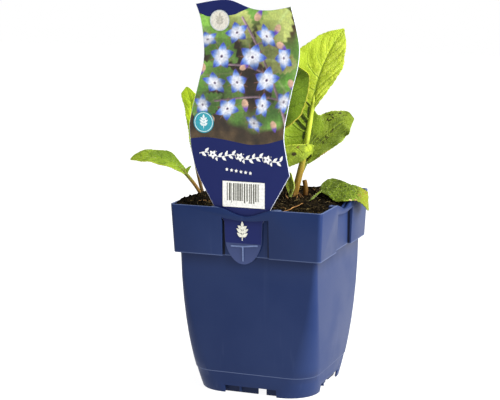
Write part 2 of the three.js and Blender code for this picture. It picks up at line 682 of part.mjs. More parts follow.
// Label: a wavy board that narrows to a rounded tongue behind the strap
function labelShape() {
  const shape = new THREE.Shape();
  const left = TONGUE_CENTRE - TONGUE_HALF;
  const right = TONGUE_CENTRE + TONGUE_HALF;
  const shoulder = TONGUE_HALF - TONGUE_TAPER;
  const full = TONGUE_HALF - TONGUE_FULLNESS;
  const through = (points) => points.forEach(([x, z]) => shape.lineTo(x, z));
  const curve = (points) => shape.splineThru(points.map(([x, z]) => new THREE.Vector2(x, z)));
  const roundEnd = (from, to) => shape.bezierCurveTo(
    TONGUE_CENTRE + from[0], from[1], TONGUE_CENTRE + to[0], to[1],
    TONGUE_CENTRE + to[2], to[3],
  );
  shape.moveTo(left, TONGUE_TOP);
  shape.lineTo(TONGUE_CENTRE - shoulder, TONGUE_SHOULDER);
  roundEnd([-full, TONGUE_FLANK], [-TONGUE_ROUNDING, TONGUE_BOTTOM, 0, TONGUE_BOTTOM]);
  roundEnd([TONGUE_ROUNDING, TONGUE_BOTTOM], [full, TONGUE_FLANK, shoulder, TONGUE_SHOULDER]);
  shape.lineTo(right, TONGUE_TOP);
  through(RIGHT_SLOPE);
  curve(RIGHT_EDGE);
  curve(TOP_EDGE);
  curve(LEFT_EDGE);
  through(LEFT_SLOPE);
  shape.lineTo(left, TONGUE_TOP);
  return shape;
}

function labelGeometry() {
  const flat = new THREE.ExtrudeGeometry(labelShape(), {
    depth: LABEL_THICKNESS, bevelEnabled: false, curveSegments: 6,
  });
  return flat.rotateX(Math.PI / 2).translate(0, LABEL_FACE + LABEL_THICKNESS, 0);
}

// Scene
function piece(name, geometry, colour, roughness) {
  const material = new THREE.MeshStandardMaterial({ color: colour, roughness, metalness: 0 });
  const mesh = new THREE.Mesh(geometry, material);
  mesh.name = name;
  return mesh;
}

const plant = new THREE.Group();
plant.add(piece("pot", geometryOf(potSolid()), COLOURS.pot, 0.45));
plant.add(piece("soil", geometryOf(soilSolid()), COLOURS.soil, 0.95));
plant.add(piece("label", geometryOf(solid(labelGeometry())), COLOURS.label, 0.35));
for (const [name, leaf] of Object.entries(LEAVES)) {
  plant.add(piece(name, geometryOf(leafSolid(leaf)), leaf.colour, 0.6));
}
plant.add(piece("shoot_stub", geometryOf(stubSolid()), COLOURS.bud, 0.7));

export default plant;
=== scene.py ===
"""Eastern borage in a square nursery pot, with its plastic plant label.

Sizes are in millimetres in the tables below and in metres in the scene. +Z is up, the side of
the pot that holds the label faces -Y, and the origin is under the middle of the pot. Colours in
the tables are screen values of 0 to 255.
"""

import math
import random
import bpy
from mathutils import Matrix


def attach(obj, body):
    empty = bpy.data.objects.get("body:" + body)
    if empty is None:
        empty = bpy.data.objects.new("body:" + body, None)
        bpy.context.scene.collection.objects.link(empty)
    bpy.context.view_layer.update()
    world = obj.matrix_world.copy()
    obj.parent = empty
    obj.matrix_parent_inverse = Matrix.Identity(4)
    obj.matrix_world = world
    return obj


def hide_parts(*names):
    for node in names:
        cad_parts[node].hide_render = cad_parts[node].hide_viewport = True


bl_info = {
    "name": "Potted Eastern Borage",
    "version": (1, 0, 0),
    "blender": (4, 5, 0),
    "location": "View3D > Sidebar > Borage",
    "description": "Builds a young eastern borage in its nursery pot with a plant label",
    "category": "Add Mesh",
}

import bpy
from mathutils import Matrix, Vector, noise

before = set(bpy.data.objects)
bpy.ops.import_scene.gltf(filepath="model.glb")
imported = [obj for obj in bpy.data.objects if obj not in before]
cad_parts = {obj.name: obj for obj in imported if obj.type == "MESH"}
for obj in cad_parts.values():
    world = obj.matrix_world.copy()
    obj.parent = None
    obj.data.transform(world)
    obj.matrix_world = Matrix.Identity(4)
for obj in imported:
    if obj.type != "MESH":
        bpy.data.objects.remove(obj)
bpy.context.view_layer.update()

MM = 0.001

# View of the photograph
VIEW_AZIMUTH = 20.84
VIEW_ELEVATION = 10.09
VIEW_DISTANCE = 1.0595
VIEW_RIGHT = -0.01566
VIEW_UP = 0.1289
FOCAL_PIXELS = 1462
FRAME_PIXELS = 500
SENSOR_WIDTH = 36

# Studio, in metres: turn from the front and rise of each light in degrees, its distance, width
# and colour
FLOOR_SIZE = 6
LIGHTS_AIM = 0.1
LIGHTS = {
    "key": (82, 32, 1.6, 1.3, (1.0, 0.99, 0.97)),
    "front": (-10, 35, 1.8, 1.4, (1.0, 1.0, 1.0)),
    "top": (180, 78, 1.6, 1.6, (1.0, 1.0, 1.0)),
}

# Pot
POT_HEIGHT = 134
RIM_BEVEL = 0.28
BEVEL_ANGLE = 42
SMOOTH_ANGLE = 38
SEAM_HEIGHT = 15.6
COLLAR_LOW = 100
SOCKET_HIGH = 127

# Tints on the pot's plastic, most of them painted highlights and painted shade: colour (None is
# the pale one of wear and painted highlights), share, and the bands in which it lies. A band has
# a rising and a falling step, in height, in distance out from the middle or in distance aside
# along a wall.
POT_TINTS = [
    # painted highlights along the rim, the seam and the lip of the collar; on the rim also wear
    (None, 0.35, [("height", (POT_HEIGHT - 0.5, POT_HEIGHT - 0.1), None)]),
    (None, 0.5, [("height", (SEAM_HEIGHT - 0.5, SEAM_HEIGHT - 0.25),
                  (SEAM_HEIGHT + 0.02, SEAM_HEIGHT + 0.25))]),
    (None, 0.3, [("height", (COLLAR_LOW - 0.3, COLLAR_LOW), (COLLAR_LOW + 0.5, COLLAR_LOW + 0.9))]),
    # shade under the collar
    ((20, 30, 58), 0.45, [("height", (COLLAR_LOW - 12, COLLAR_LOW),
                           (COLLAR_LOW - 0.2, COLLAR_LOW + 0.1))]),
    # painted shade in the slits beside the sockets
    ((10, 13, 26), 0.92, [("height", (COLLAR_LOW, COLLAR_LOW + 0.8), (SOCKET_HIGH, SOCKET_HIGH + 1)),
                          ("out", (48, 49), (52.3, 52.6)), ("aside", (15.3, 15.6), (17.2, 17.6))]),
    # shade inside the foot
    ((16, 20, 34), 0.5, [("height", None, (5.4, 5.8)), ("out", None, (39.8, 40.1)),
                         ("aside", None, (19.4, 19.8))]),
]

# Soil
SOIL_LEVEL = 130.4
SOIL_HALF = 53
SOIL_LOWEST = 122
SOIL_CUTS = 6
SOCKET_HALF = 25.5
SOCKET_INSIDE = 49.3
SOIL_LIFT = 0.4
ROUGH_REACH = 7
ROUGH_RISE = 1.1
CLOD_REACH = 3.4
CRUMB_LEAST = 0.35
CRUMB_SPREAD = 1.1
FIBRE_LENGTH = 6.5
FIBRE_RADIUS = 0.14
ROOT_LIFT = 1.4
SOIL_SEED = 21

# Dry fibres: their pale and their deep colour
PEAT = ((116, 98, 52), (44, 34, 17))
STRAW = ((166, 122, 68), (112, 76, 38))

# How the soil swells: height, middle and reach of each swell. It rises in three heaps along the
# left wall, along the back wall and at the crown, and sinks at the right.
SOIL_SWELLS = [
    (3.4, (-47, -10), (11, 18)),
    (1.8, (-47, -30), (11, 40)),
    (2.6, (-52, -44), (8, 14)),
    (2.6, (0, 52), (math.inf, 16)),
    (1.6, (13, 12), (12, 12)),
    (-1.5, (50, 0), (7, math.inf)),
]

# Rootlets and straws round the crown: four points of a curve, with the height above the soil
# as the third number, and a radius
ROOTS = [
    ([(26.6, -7.8, 0.5), (26.9, -20, 1.5), (27.6, -34, 1.1), (24.1, -44.6, 0.5)], 0.3),
    ([(25.1, -41.4, 0.8), (23, -36, 2.0), (20, -32, 1.6), (18.3, -32.4, 0.7)], 0.24),
    ([(10.1, 23.2, 2.2), (12, 20, 2.0), (16, 14, 1.2), (19, 7.8, 0.3)], 0.28),
    ([(2.2, 26.6, 2.2), (5, 20, 2.4), (8, 13, 1.4), (10.8, 9.3, 0.4)], 0.28),
    ([(13.1, 17.1, 2.2), (15, 12, 2.4), (16.8, 7, 1.4), (17, 3.9, 0.3)], 0.26),
    ([(14.5, 44.3, 0.6), (18, 40, 1.4), (21, 36, 1.2), (23.9, 31.2, 0.5)], 0.26),
    ([(15.8, 9, 4), (17.5, 9, 3.6), (19.5, 8.4, 2.2), (20.9, 8, 0.6)], 0.24),
    ([(9, 2.5, 3.6), (9.3, 2.3, 2.8), (10.6, 2.1, 1.4), (11.6, 2, 0.2)], 0.22),
    ([(14.7, 6.5, 3.8), (14.9, 6.2, 2.6), (14.2, 5.8, 1.2), (13.3, 5.5, 0.2)], 0.22),
    ([(-30, -38, 0.5), (-24, -40, 1.2), (-18, -41, 1.0), (-12, -44, 0.4)], 0.26),
    ([(-44, -36, 0.6), (-40, -30, 1.3), (-36, -28, 1.0), (-30, -30, 0.5)], 0.26),
]

# Leaves
BLADE_THICKNESS = 0.7
PROFILE_STEPS = 36
STALK_STEPS = 8
RIB_STEPS = 14
RIB_END = 0.86
RIB_TIP_RADIUS = 0.35
RIB_SINK = 0.15
RIB_HIDE = 0.25
RIB_DIVE = 0.1
RAISED_LIFT = 0.3
RAISED_RADIUS = 0.6
RAISED_TAPER = 0.25
RELIEF_CELL = 3.1
RELIEF_LONG = 60
GROOVE_HALF = 1.1
TOOTH_DEPTH = 0.25
TEETH = 23

# Hairs: number on a stalk and on a blade, share of the full length on a blade, radius, how deep
# a hair is rooted and how far it leans
STALK_HAIRS = 220
BLADE_HAIRS = 700
BLADE_HAIR_SHARE = 0.6
HAIR_RADIUS = 0.045
HAIR_ROOT = 0.08
HAIR_LEAN = 0.35

# Pattern of the veins: side veins and midrib, their wandering, and the two nets between them
VEIN_WIDTH = 0.08
VEIN_TAPER = 0.05
VEIN_WANDER = 0.05
RIB_WIDTH = 0.045
NET_SCALE = 340.0
FINE_NET = 2.4
FINE_NET_SHARE = 0.6
CHART_LONG = 75
CHART_WIDE = 40

# Each leaf: stalk and midrib are cubic curves given by four points, and the face is the
# direction that the upper side looks to at the base and at the tip. "ridge" is the share of the
# midrib up to which the rib shows. "quilt", "relief" and "groove" are the heights of the bulges
# between the side veins, of the net and of the furrow over the midrib, and "skew" is the slant of
# the side veins. "cells" are the squares left and right of the midrib and along it, "wave" the
# height, number and start of the margin's waves, and "fold" the middle and half width of a fold
# as shares of a vein. A "raised" vein runs through places given along and across the blade. A row
# of a side says: share of the midrib, vein length, rise out of the midrib in degrees, curl, sweep
# of the veins; zeros at its end are left out.
LEAVES = {
    "leaf_upright": {
        "slot": "leaf_light",
        "ridge": 0.3, "quilt": 0.6, "relief": 0.2, "groove": 0.5, "skew": 0.2,
        "stalk": [(8, 9.5, 118), (14.2, 11.8, 137), (19.2, 13.2, 160), (22.5, 13.9, 182)],
        "stalk_radius": (2.8, 1.9),
        "rib": [(22.5, 13.9, 182), (25.7, 14.7, 200), (26.4, 16.5, 226), (42.9, 29.2, 251)],
        "face": [(0.36, -0.93, 0.15), (0.36, -0.93, 0.3)],
        "veins": 9,
        "cells": (52, 34, 120),
        "fold": (0.54, 0.3),
        "raised": [
            [(0.263, -0.033), (0.278, -0.066), (0.3, -0.11)],
            [(0.106, -0.05), (0.15, -0.115), (0.21, -0.2)],
            [(0.05, -0.117), (0.098, -0.2), (0.16, -0.3)],
            [(0.031, -0.217), (0.072, -0.3), (0.13, -0.43)],
        ],
        "wave": (0.9, 4, 0.1),
        "left": [
            (0, 21, -10, 0, -78), (0.05, 29, -10, 15, -52), (0.13, 33, -10, 90, -24),
            (0.22, 43, -10, 172, -2), (0.33, 47, -10, 188, 4), (0.44, 41, -8, 168, 10),
            (0.54, 29.5, -4, 60, 15), (0.66, 20, 0, 10, 20), (0.85, 10.4, 4, 0, 28), (1, 0.5, 4, 0, 10),
        ],
        "right": [
            (0, 0.8, 10), (0.2, 1.4, 10, 0, 22), (0.35, 8.6, 10, 0, 29),
            (0.6, 14.9, 10, 0, 24), (0.8, 11, 10, 0, 21), (0.92, 6.2, 10, 0, 11), (1, 0.5, 10),
        ],
    },
    "leaf_back": {
        "slot": "leaf_dark",
        "ridge": 0.0, "quilt": 0.15, "relief": 0.1, "groove": 0.05, "skew": 0.15,
        "stalk": [(6.9, 15.5, 118), (9.7, 16.6, 135), (14.8, 17.4, 148), (18.9, 17.9, 156)],
        "stalk_radius": (2.1, 1.5),
        "rib": [(18.9, 17.9, 156), (25.1, 21.3, 166), (35.2, 28.4, 182), (49, 35.8, 187)],
        "face": [(0.36, -0.93, 0.2), (0.36, -0.93, 0.2)],
        "veins": 7,
        "cells": (30, 22, 76),
        "wave": (0.9, 3.5, 0.4),
        "left": [
            (0, 10, 0, 0, 30), (0.15, 18, 0, 0, 28), (0.28, 22, 0, 0, 32), (0.38, 25, 0, 0, 38),
            (0.45, 19, 0, 0, 36), (0.5, 17, 0, 5, 34), (0.6, 15, 0, 10, 26), (0.72, 12.6, 0, 10, 21),
            (0.8, 10.2, 0, 10, 18), (0.9, 7.6, 0, 0, 14), (0.96, 5.4, 0, 0, 6), (1, 0.5),
        ],
        "right": [
            (0, 2, 0, 0, 10), (0.2, 6, 0, 0, 20), (0.45, 9.6, 0, -10, 20), (0.6, 10.3, 0, -10, 17),
            (0.7, 9, 0, -10, 15), (0.78, 8.6, 0, -5, 10), (0.9, 4.8, 0, 0, 2), (1, 0.5),
        ],
        "lobe": {
            "quilt": 0.2, "relief": 0.2, "groove": 0.05, "skew": 0.1,
            "rib": [(19.4, 18, 156.5), (28.6, 17.2, 167), (29.2, 2, 168), (-1.4, -8.4, 159)],
            "face": [(0.93, 0.36, 0), (0.36, -0.93, 0)],
            "veins": 6,
            "cells": (14, 14, 64),
            "wave": (0.5, 3, 0.2),
            "left": [
                (0, 0.6), (0.3, 0.6), (0.45, 2), (0.6, 4.6),
                (0.8, 7.4, 0, 0, 10), (1, 0.5),
            ],
            "right": [
                (0, 3), (0.3, 5.2), (0.6, 6.3),
                (0.8, 8, 0, 0, 10), (1, 0.5),
            ],
        },
    },
    "leaf_left": {
        "slot": "leaf_mid",
        "ridge": 0.1, "quilt": 0.4, "relief": 0.15, "groove": 0.4, "skew": 0.15,
        "stalk": [(-43.3, -15.4, 124), (-46.2, -16.5, 134.5), (-52.3, -17.2, 142.5), (-58.9, -18.1, 149.5)],
        "stalk_radius": (1.2, 1.3),
        "rib": [(-58.9, -18.1, 149.5), (-68.1, -20.6, 160), (-84.4, -25.7, 164), (-96.1, -30.1, 159)],
        "face": [(0.09, -0.23, 1), (0.12, -0.33, 1)],
        "veins": 6,
        "cells": (16, 20, 64),
        "wave": (0.4, 3, 0),
        "left": [
            (0, 2), (0.15, 5), (0.4, 9),
            (0.7, 8), (0.9, 4), (1, 0.4),
        ],
        "right": [
            (0, 3), (0.15, 6), (0.38, 13.5), (0.6, 12),
            (0.8, 9), (0.92, 5.5), (1, 0.4),
        ],
        "scrap": {
            "quilt": 0.05, "relief": 0, "groove": 0.1, "skew": 0.15,
            "rib": [(-59.7, -17.7, 150.6), (-58.4, -17.2, 152), (-57.2, -16.8, 152.8), (-55.2, -16.1, 154.8)],
            "face": [(0.36, -0.93, 0.2), (0.36, -0.93, 0.2)],
            "veins": 3,
            "cells": (5, 5, 14),
            "wave": (0.1, 2, 0),
            "left": [(0, 1), (0.4, 0.9), (0.8, 0.5), (1, 0.2)],
            "right": [(0, 2.6), (0.4, 1.8), (0.8, 0.7), (1, 0.2)],
        },
    },
    "leaf_behind_label": {
        "slot": "leaf_light",
        "ridge": 0.15, "quilt": 0.45, "relief": 0.15, "groove": 0.5, "skew": 0.2,
        "stalk": [(-44.8, -10.1, 120), (-49.2, -11.2, 136), (-52.3, -10.8, 147), (-55.1, -9.8, 160)],
        "stalk_radius": (1.4, 1.1),
        "rib": [(-55.1, -9.8, 160), (-57.5, -9.1, 176), (-56.2, -4.3, 192), (-64.1, -3, 209.3)],
        "face": [(-0.02, -1.08, 0.2), (-0.02, -1.08, 0.2)],
        "veins": 6,
        "cells": (14, 22, 72),
        "wave": (0.6, 3, 0.3),
        "left": [
            (0, 1), (0.3, 3.5, 0, 0, 15), (0.6, 5.5, 0, 0, 20),
            (0.82, 6, 0, 0, 15), (0.93, 5.5, 0, 0, 5), (1, 0.5),
        ],
        "right": [
            (0, 1), (0.3, 11, 0, 0, 20), (0.6, 15, 0, 0, 5),
            (0.83, 9, 0, 0, -15), (0.95, 4, 0, 0, -25), (1, 0.5),
        ],
    },
    "leaf_over_rim": {
        "slot": "leaf_dark",
        "ridge": 0.04, "quilt": 0.45, "relief": 0.55, "groove": 0.15, "skew": 0.15,
        "stalk": [(23.8, 0, 118), (25.6, 1.5, 130), (27, 8, 133.6), (30, 21, 135.8)],
        "stalk_radius": (0.9, 0.65),
        "rib": [(30, 21, 135.8), (42, 21, 137.8), (68.2, 22.5, 142), (59, 37, 122.6)],
        "face": [(0.1, -0.3, 1), (1, -0.25, 0.6)],
        "veins": 7,
        "cells": (26, 28, 84),
        "wave": (0.5, 4, 0.6),
        "left": [
            (0, 3, 0, 0, -30), (0.06, 11, 0, 0, -26), (0.18, 18.6, 0, 0, -10), (0.25, 15, 0, 0, -5),
            (0.33, 10.2), (0.5, 6), (0.62, 4.8), (0.72, 5.4),
            (0.85, 5.4, 0, 0, 5), (0.95, 4, 0, 0, 5), (1, 0.4),
        ],
        "right": [
            (0, 2, 0, 0, 10), (0.1, 6.5, 0, 0, 6), (0.24, 15.4, 0, 0, 4), (0.4, 18.5, 6, 0, 2),
            (0.54, 14, 10), (0.7, 12.4, 0, 0, 6), (0.85, 9.4, 0, 0, 8), (0.95, 4),
            (1, 0.4),
        ],
    },
    "young_leaf": {
        "slot": "leaf_mid",
        "ridge": 0.2, "quilt": 0.2, "relief": 0.05, "groove": 0.2, "skew": 0.1,
        "stalk": [(11, 4, 118), (11.5, 4.4, 126), (11.8, 4.7, 130), (11.8, 4.9, 134)],
        "stalk_radius": (1.6, 1.3),
        "rib": [(11.8, 4.9, 134), (13.2, 5.5, 140), (12.6, 5.3, 147), (9.5, 4.2, 151.5)],
        "face": [(-0.3, -1.18, 0), (-0.3, -1.18, 0)],
        "veins": 4,
        "cells": (10, 10, 36),
        "wave": (0.2, 2, 0),
        "left": [(0, 1, 10, 20), (0.4, 4, 10, 30), (0.8, 3, 10, 20, 10), (1, 0.4)],
        "right": [(0, 1, 10, 20), (0.4, 4, 10, 30), (0.8, 3, 10, 20, 10), (1, 0.4)],
    },
}

SHOOT = {
    "stalk": [(17.2, 19.4, 120), (17.9, 19.9, 130), (19, 20.3, 138), (17.2, 20.1, 143.2)],
    "stalk_radius": (2.3, 1.6),
}

# Looks of the leaves: light and dark parts of the upper side and of the underside, the net of
# small veins, the side veins and the midrib, with the share of each; "under_net" and "under_vein"
# are those of the underside where it has its own. "edge" is the width of the pale margin as a
# share of the veins, "foot" the colour near the stalk up to a share of the midrib, "tip" the
# colour beyond a share, "streak" the colour of the streaks, "streaks_run" the pattern that they
# follow, and "streak_side" makes them faint on the left half. "right_veins" is how much of the
# veins shows on the right half. A mark is a soft patch of colour: where it lies across (-1 to 1)
# and along the blade, its reach both ways, its colour and its strength; "upper_marks" lie on the
# upper side alone. A hollow is a shaded band between two such places, with its half width in
# millimetres. A row of spots has its middle and half width across, its start and its end.
LOOKS = {
    "leaf_upright": {
        "light": (168, 182, 49), "dark": (152, 171, 42),
        "net": ((128, 148, 35), 0.4), "vein": ((92, 116, 26), 0.75),
        "rib": ((84, 110, 26), 0.9), "margin": ((156, 146, 50), 0.85),
        "under_net": ((88, 112, 28), 0.3), "under_vein": ((74, 98, 23), 0.7),
        "under_light": (113, 140, 36), "under_dark": (98, 124, 32),
        "foot": ((118, 146, 38), 0.3), "streak": ((196, 206, 96), 0.55),
        "skew": 0.2, "edge": 0.02, "right_veins": 0.15, "streaks_run": "Vein Streaks",
        "streak_side": 1,
        "upper_marks": [(-0.85, 0.62, 0.5, 0.42, (146, 165, 41), 0.7)],
        "hollows": [
            (-0.055, 0.235, -0.06, 0.12, 1.1), (-0.05, 0.25, -0.1, 0.285, 0.8),
            (-0.085, 0.088, -0.235, 0.19, 1.8), (-0.15, 0.035, -0.33, 0.14, 2.0),
            (-0.075, 0.09, -0.1, 0.055, 1.2), (-0.22, 0.028, -0.42, 0.004, 1.2),
        ],
    },
    "leaf_back": {
        "light": (100, 118, 31), "dark": (70, 86, 22),
        "net": ((70, 84, 22), 0.25), "vein": ((74, 90, 24), 0.2),
        "rib": ((84, 100, 28), 0.1), "margin": ((146, 162, 52), 0.85),
        "under_light": (112, 136, 40), "under_dark": (92, 116, 32),
        "streak": ((124, 142, 40), 0.65), "skew": 0.15, "edge": 0.08,
        "marks": [
            (-0.66, 0.42, 0.45, 0.12, (112, 134, 35), 0.9),
            (0.97, 0.22, 0.07, 0.16, (140, 116, 56), 0.8),
            (-0.985, 0.613, 0.05, 0.012, (24, 18, 12), 1.0),
        ],
        "upper_marks": [
            # painted light on the tip, against the shade of its curl
            (0.2, 0.93, 1.1, 0.12, (132, 152, 46), 0.55),
            (0.55, 0.45, 0.45, 0.3, (74, 90, 25), 0.5),
        ],
        "spot_rows": [(-0.03, 0.24, 0.34, 0.68), (-0.74, 0.26, 0.58, 0.95), (-0.14, 0.12, 0.82, 0.92)],
    },
    "lobe": {
        "light": (138, 156, 39), "dark": (104, 121, 31),
        "net": ((82, 96, 26), 0.6), "vein": ((92, 108, 30), 0.35),
        "rib": ((96, 112, 30), 0.3), "margin": ((170, 182, 60), 0.8),
        "under_light": (112, 134, 40), "under_dark": (92, 114, 34),
        "skew": 0.1, "edge": 0.06,
        "marks": [
            (0.1, 0.744, 0.22, 0.034, (46, 38, 20), 0.95),
            (0.8, 0.55, 0.16, 0.022, (22, 14, 8), 1.0),
            (0.73, 0.68, 0.14, 0.018, (96, 74, 30), 0.8),
            (0.5, 0.5, 0.5, 0.1, (160, 174, 46), 0.6),
        ],
    },
    "leaf_left": {
        "light": (138, 164, 44), "dark": (116, 144, 38),
        "net": ((94, 118, 32), 0.35), "vein": ((98, 124, 34), 0.5),
        "rib": ((150, 168, 56), 0.4), "margin": ((182, 194, 58), 0.9),
        "under_light": (128, 150, 50), "under_dark": (108, 132, 42),
        "tip": ((150, 172, 44), 0.8), "skew": 0.15, "edge": 0.09,
        "marks": [(0.2, 0.02, 0.9, 0.04, (52, 42, 20), 0.9)],
        "upper_marks": [(0.55, 0.36, 0.6, 0.3, (104, 130, 35), 0.6)],
    },
    "scrap": {
        "light": (150, 176, 50), "dark": (126, 152, 42),
        "net": ((94, 118, 32), 0.2), "vein": ((98, 124, 34), 0.2),
        "rib": ((120, 140, 44), 0.3), "margin": ((172, 188, 64), 0.7),
        "under_light": (128, 150, 50), "under_dark": (108, 132, 42),
        "skew": 0.15, "edge": 0.1,
        "marks": [(0.4, 0.02, 0.9, 0.2, (48, 38, 18), 0.95)],
    },
    "leaf_behind_label": {
        # Its light and dark colours are raised to paint in the light that the label's shadow takes from it.
        "light": (202, 228, 54), "dark": (180, 208, 46),
        "net": ((140, 168, 38), 0.4), "vein": ((110, 138, 34), 0.7),
        "rib": ((112, 140, 34), 0.7), "margin": ((206, 220, 96), 0.6),
        "under_light": (140, 166, 50), "under_dark": (118, 146, 42),
        "foot": ((120, 140, 44), 0.22), "skew": 0.2, "edge": 0.05,
    },
    "leaf_over_rim": {
        "light": (70, 88, 23), "dark": (42, 57, 14),
        "net": ((110, 130, 34), 0.75), "vein": ((108, 126, 34), 0.45),
        "rib": ((98, 116, 34), 0.3), "margin": ((122, 138, 40), 0.7),
        "under_light": (104, 124, 44), "under_dark": (86, 108, 36),
        "tip": ((126, 124, 26), 0.64), "skew": 0.15, "edge": 0.06,
        "marks": [
            (0.985, 0.475, 0.05, 0.022, (180, 158, 118), 0.9),
            (0.97, 0.545, 0.05, 0.02, (150, 118, 80), 0.7),
            (-0.4, 0.74, 0.24, 0.05, (122, 96, 46), 0.6),
            (0.44, 0.6, 0.2, 0.04, (118, 96, 46), 0.5),
        ],
    },
    "young_leaf": {
        # Its light and dark colours are raised to paint in light where it lies in shade.
        "light": (192, 208, 78), "dark": (162, 178, 62),
        "net": ((92, 108, 34), 0.3), "vein": ((92, 108, 34), 0.4),
        "rib": ((150, 160, 66), 0.5), "margin": ((160, 170, 90), 0.6),
        "under_light": (120, 136, 50), "under_dark": (100, 116, 40),
        "skew": 0.1, "edge": 0.08,
    },
}
HOLLOW_SHADE = (46, 58, 24)
SPOT_BROWN = (34, 22, 10)

# Colours of the stalks by height, from the lowest up
STALKS = {
    "leaf_upright": [(128, (118, 88, 38)), (150, (148, 124, 46)), (164, (154, 152, 48)),
                     (174, (162, 178, 56)), (200, (176, 192, 62))],
    "leaf_back": [(128, (118, 88, 38)), (142, (122, 114, 42)), (158, (100, 118, 36))],
    "leaf_left": [(124, (92, 62, 26)), (149, (132, 98, 38)), (153, (116, 124, 42))],
    "leaf_behind_label": [(124, (66, 46, 21)), (152, (110, 84, 35)), (172, (140, 156, 50))],
    "leaf_over_rim": [(120, (60, 62, 24)), (132, (70, 80, 26)), (137, (92, 108, 34))],
    "young_leaf": [(120, (84, 78, 34)), (132, (94, 98, 40)), (138, (100, 112, 40))],
    "dry_shoot": [(128, (48, 30, 11)), (137, (76, 50, 16)), (143, (100, 72, 24))],
    "raised_vein": [(170, (122, 146, 42)), (220, (136, 158, 46))],
}

# Label
LABEL_FACE = -52.45
LABEL_THICKNESS = 0.8
LABEL_BEVEL = 0.15
PRINT_THICKNESS = 0.04
PRINT_INSET = 0.22
PRINT_STEP = 0.004
PRINT_END = 109.5
PICTURE_LOW = 180
PICTURE_GRID = (150, 190)
BAND_GRID = (24, 90)
CAP_GRID = (48, 10)
TONGUE_CENTRE = -1.7
TONGUE_HALF = 13.8
TONGUE_END = 95
TONGUE_HIGH = 124
SHOULDERS = (-21.2, 16.3)
SHOULDER_HIGH = 131

# Outlines of the label and of its printed parts, each from one end to the other
RIGHT_EDGE = [(31.4, 157.8), (27.6, 177.9), (27.4, 188), (29.7, 200.7), (32.6, 214.3), (36.8, 231),
              (37.4, 246.5), (31.8, 269.7)]
TOP_EDGE = [(31.8, 269.7), (17.2, 267.2), (5, 268), (-10.2, 273.3), (-20.5, 273.3), (-35.6, 270.6)]
LEFT_EDGE = [(-35.6, 270.6), (-32.3, 261.3), (-30.1, 246.4), (-30.2, 232.6), (-33.7, 218.8),
             (-40, 194), (-40.6, 184), (-39.2, 171), (-36.4, 160), (-33, 151.7)]
WAVE_LINE = [(-42, 179.3), (-40, 179.7), (-28.7, 181.1), (-14.6, 179.9), (0.8, 177.5), (8.1, 177.7),
             (15.4, 178.6), (27, 182.1), (29, 182.6)]
CREST_LINE = [(-36, 264.6), (-32.5, 264.4), (-28.2, 262.6), (-23.1, 262.3), (-9.5, 263.5),
              (-3.9, 265.6), (3.2, 268.6)]
CAP_END = 3.2

# Printed picture. Flowers: place, size, turn, squash, lean and blur. Buds: place, size, angle and
# blur. Foliage: place, length, width, angle, kind of green and blur. Stems: a curve and a width.
# What lies further back comes first.
FLOWERS = [
    (-27, 247, 8.0, 0.4, 0.7, 0.3, 0.22), (27, 207, 8.4, 1.1, 0.75, 1.2, 0.24),
    (6, 192, 7.4, 0.2, 0.7, 2.4, 0.26), (-31, 203, 8.0, 0.9, 0.8, 1.8, 0.2),
    (-6, 252, 9.0, 0.1, 0.8, 0.5, 0.1), (15, 250, 9.2, 0.8, 0.72, 2.2, 0.1),
    (-17, 236, 10.0, 0.5, 0.85, 1.0, 0.08), (27, 236, 9.2, 0.3, 0.7, 1.7, 0.1),
    (5, 236, 10.4, 1.0, 0.9, 0.2, 0.07), (-22, 218, 9.6, 0.2, 0.72, 2.7, 0.09),
    (15, 221, 10.2, 0.6, 0.85, 0.8, 0.07), (-6, 219, 9.4, 0.9, 0.8, 2.0, 0.08),
    (-13, 201, 9.6, 0.4, 0.78, 0.6, 0.09), (12, 204, 8.8, 0.0, 0.7, 1.4, 0.1),
]
BUDS = [
    (-30, 231, 9, -1.9, 0.3), (-1, 208, 9, -1.4, 0.3), (22, 246, 8.5, -0.6, 0.35),
    (-24, 196, 8, -1.8, 0.4), (7, 260, 9, 1.0, 0.35), (31, 222, 8.5, -1.2, 0.4),
    (19, 194, 8, -1.3, 0.4), (-8, 264, 8, 2.2, 0.4), (24, 258, 8, -2.0, 0.4), (-4, 228, 7, 0.4, 0.35),
]
FOLIAGE = [
    (-38, 262, 44, 24, -0.75, 0, 1.6), (40, 198, 40, 22, 2.2, 1, 1.4),
    (30, 268, 40, 22, -2.2, 2, 2.2), (-38, 196, 26, 16, 0.6, 1, 1.2),
    (-8, 270, 30, 16, -1.2, 2, 2.4),
    (-40, 222, 34, 18, 0.1, 0, 0.8), (36, 232, 30, 16, 3.0, 2, 1.0),
]
STEMS = [
    ([(30, 186, 0), (24, 210, 0), (14, 236, 0), (-2, 262, 0)], 1.5),
    ([(20, 222, 0), (8, 230, 0), (-6, 232, 0), (-20, 230, 0)], 1.1),
    ([(25, 208, 0), (10, 212, 0), (-8, 208, 0), (-22, 206, 0)], 1.1),
    ([(8, 244, 0), (14, 248, 0), (20, 246, 0), (26, 240, 0)], 1.0),
]
GREENS = [
    ((160, 218, 92), (88, 166, 52)), ((140, 204, 80), (70, 136, 42)), ((214, 224, 132), (148, 172, 72)),
]
PETALS = [
    (0.0, (250, 250, 252)), (0.38, (232, 238, 252)), (0.56, (146, 178, 240)),
    (0.78, (72, 110, 214)), (1.0, (84, 72, 190)),
]
PETAL_TURN = 2 * math.pi / 5

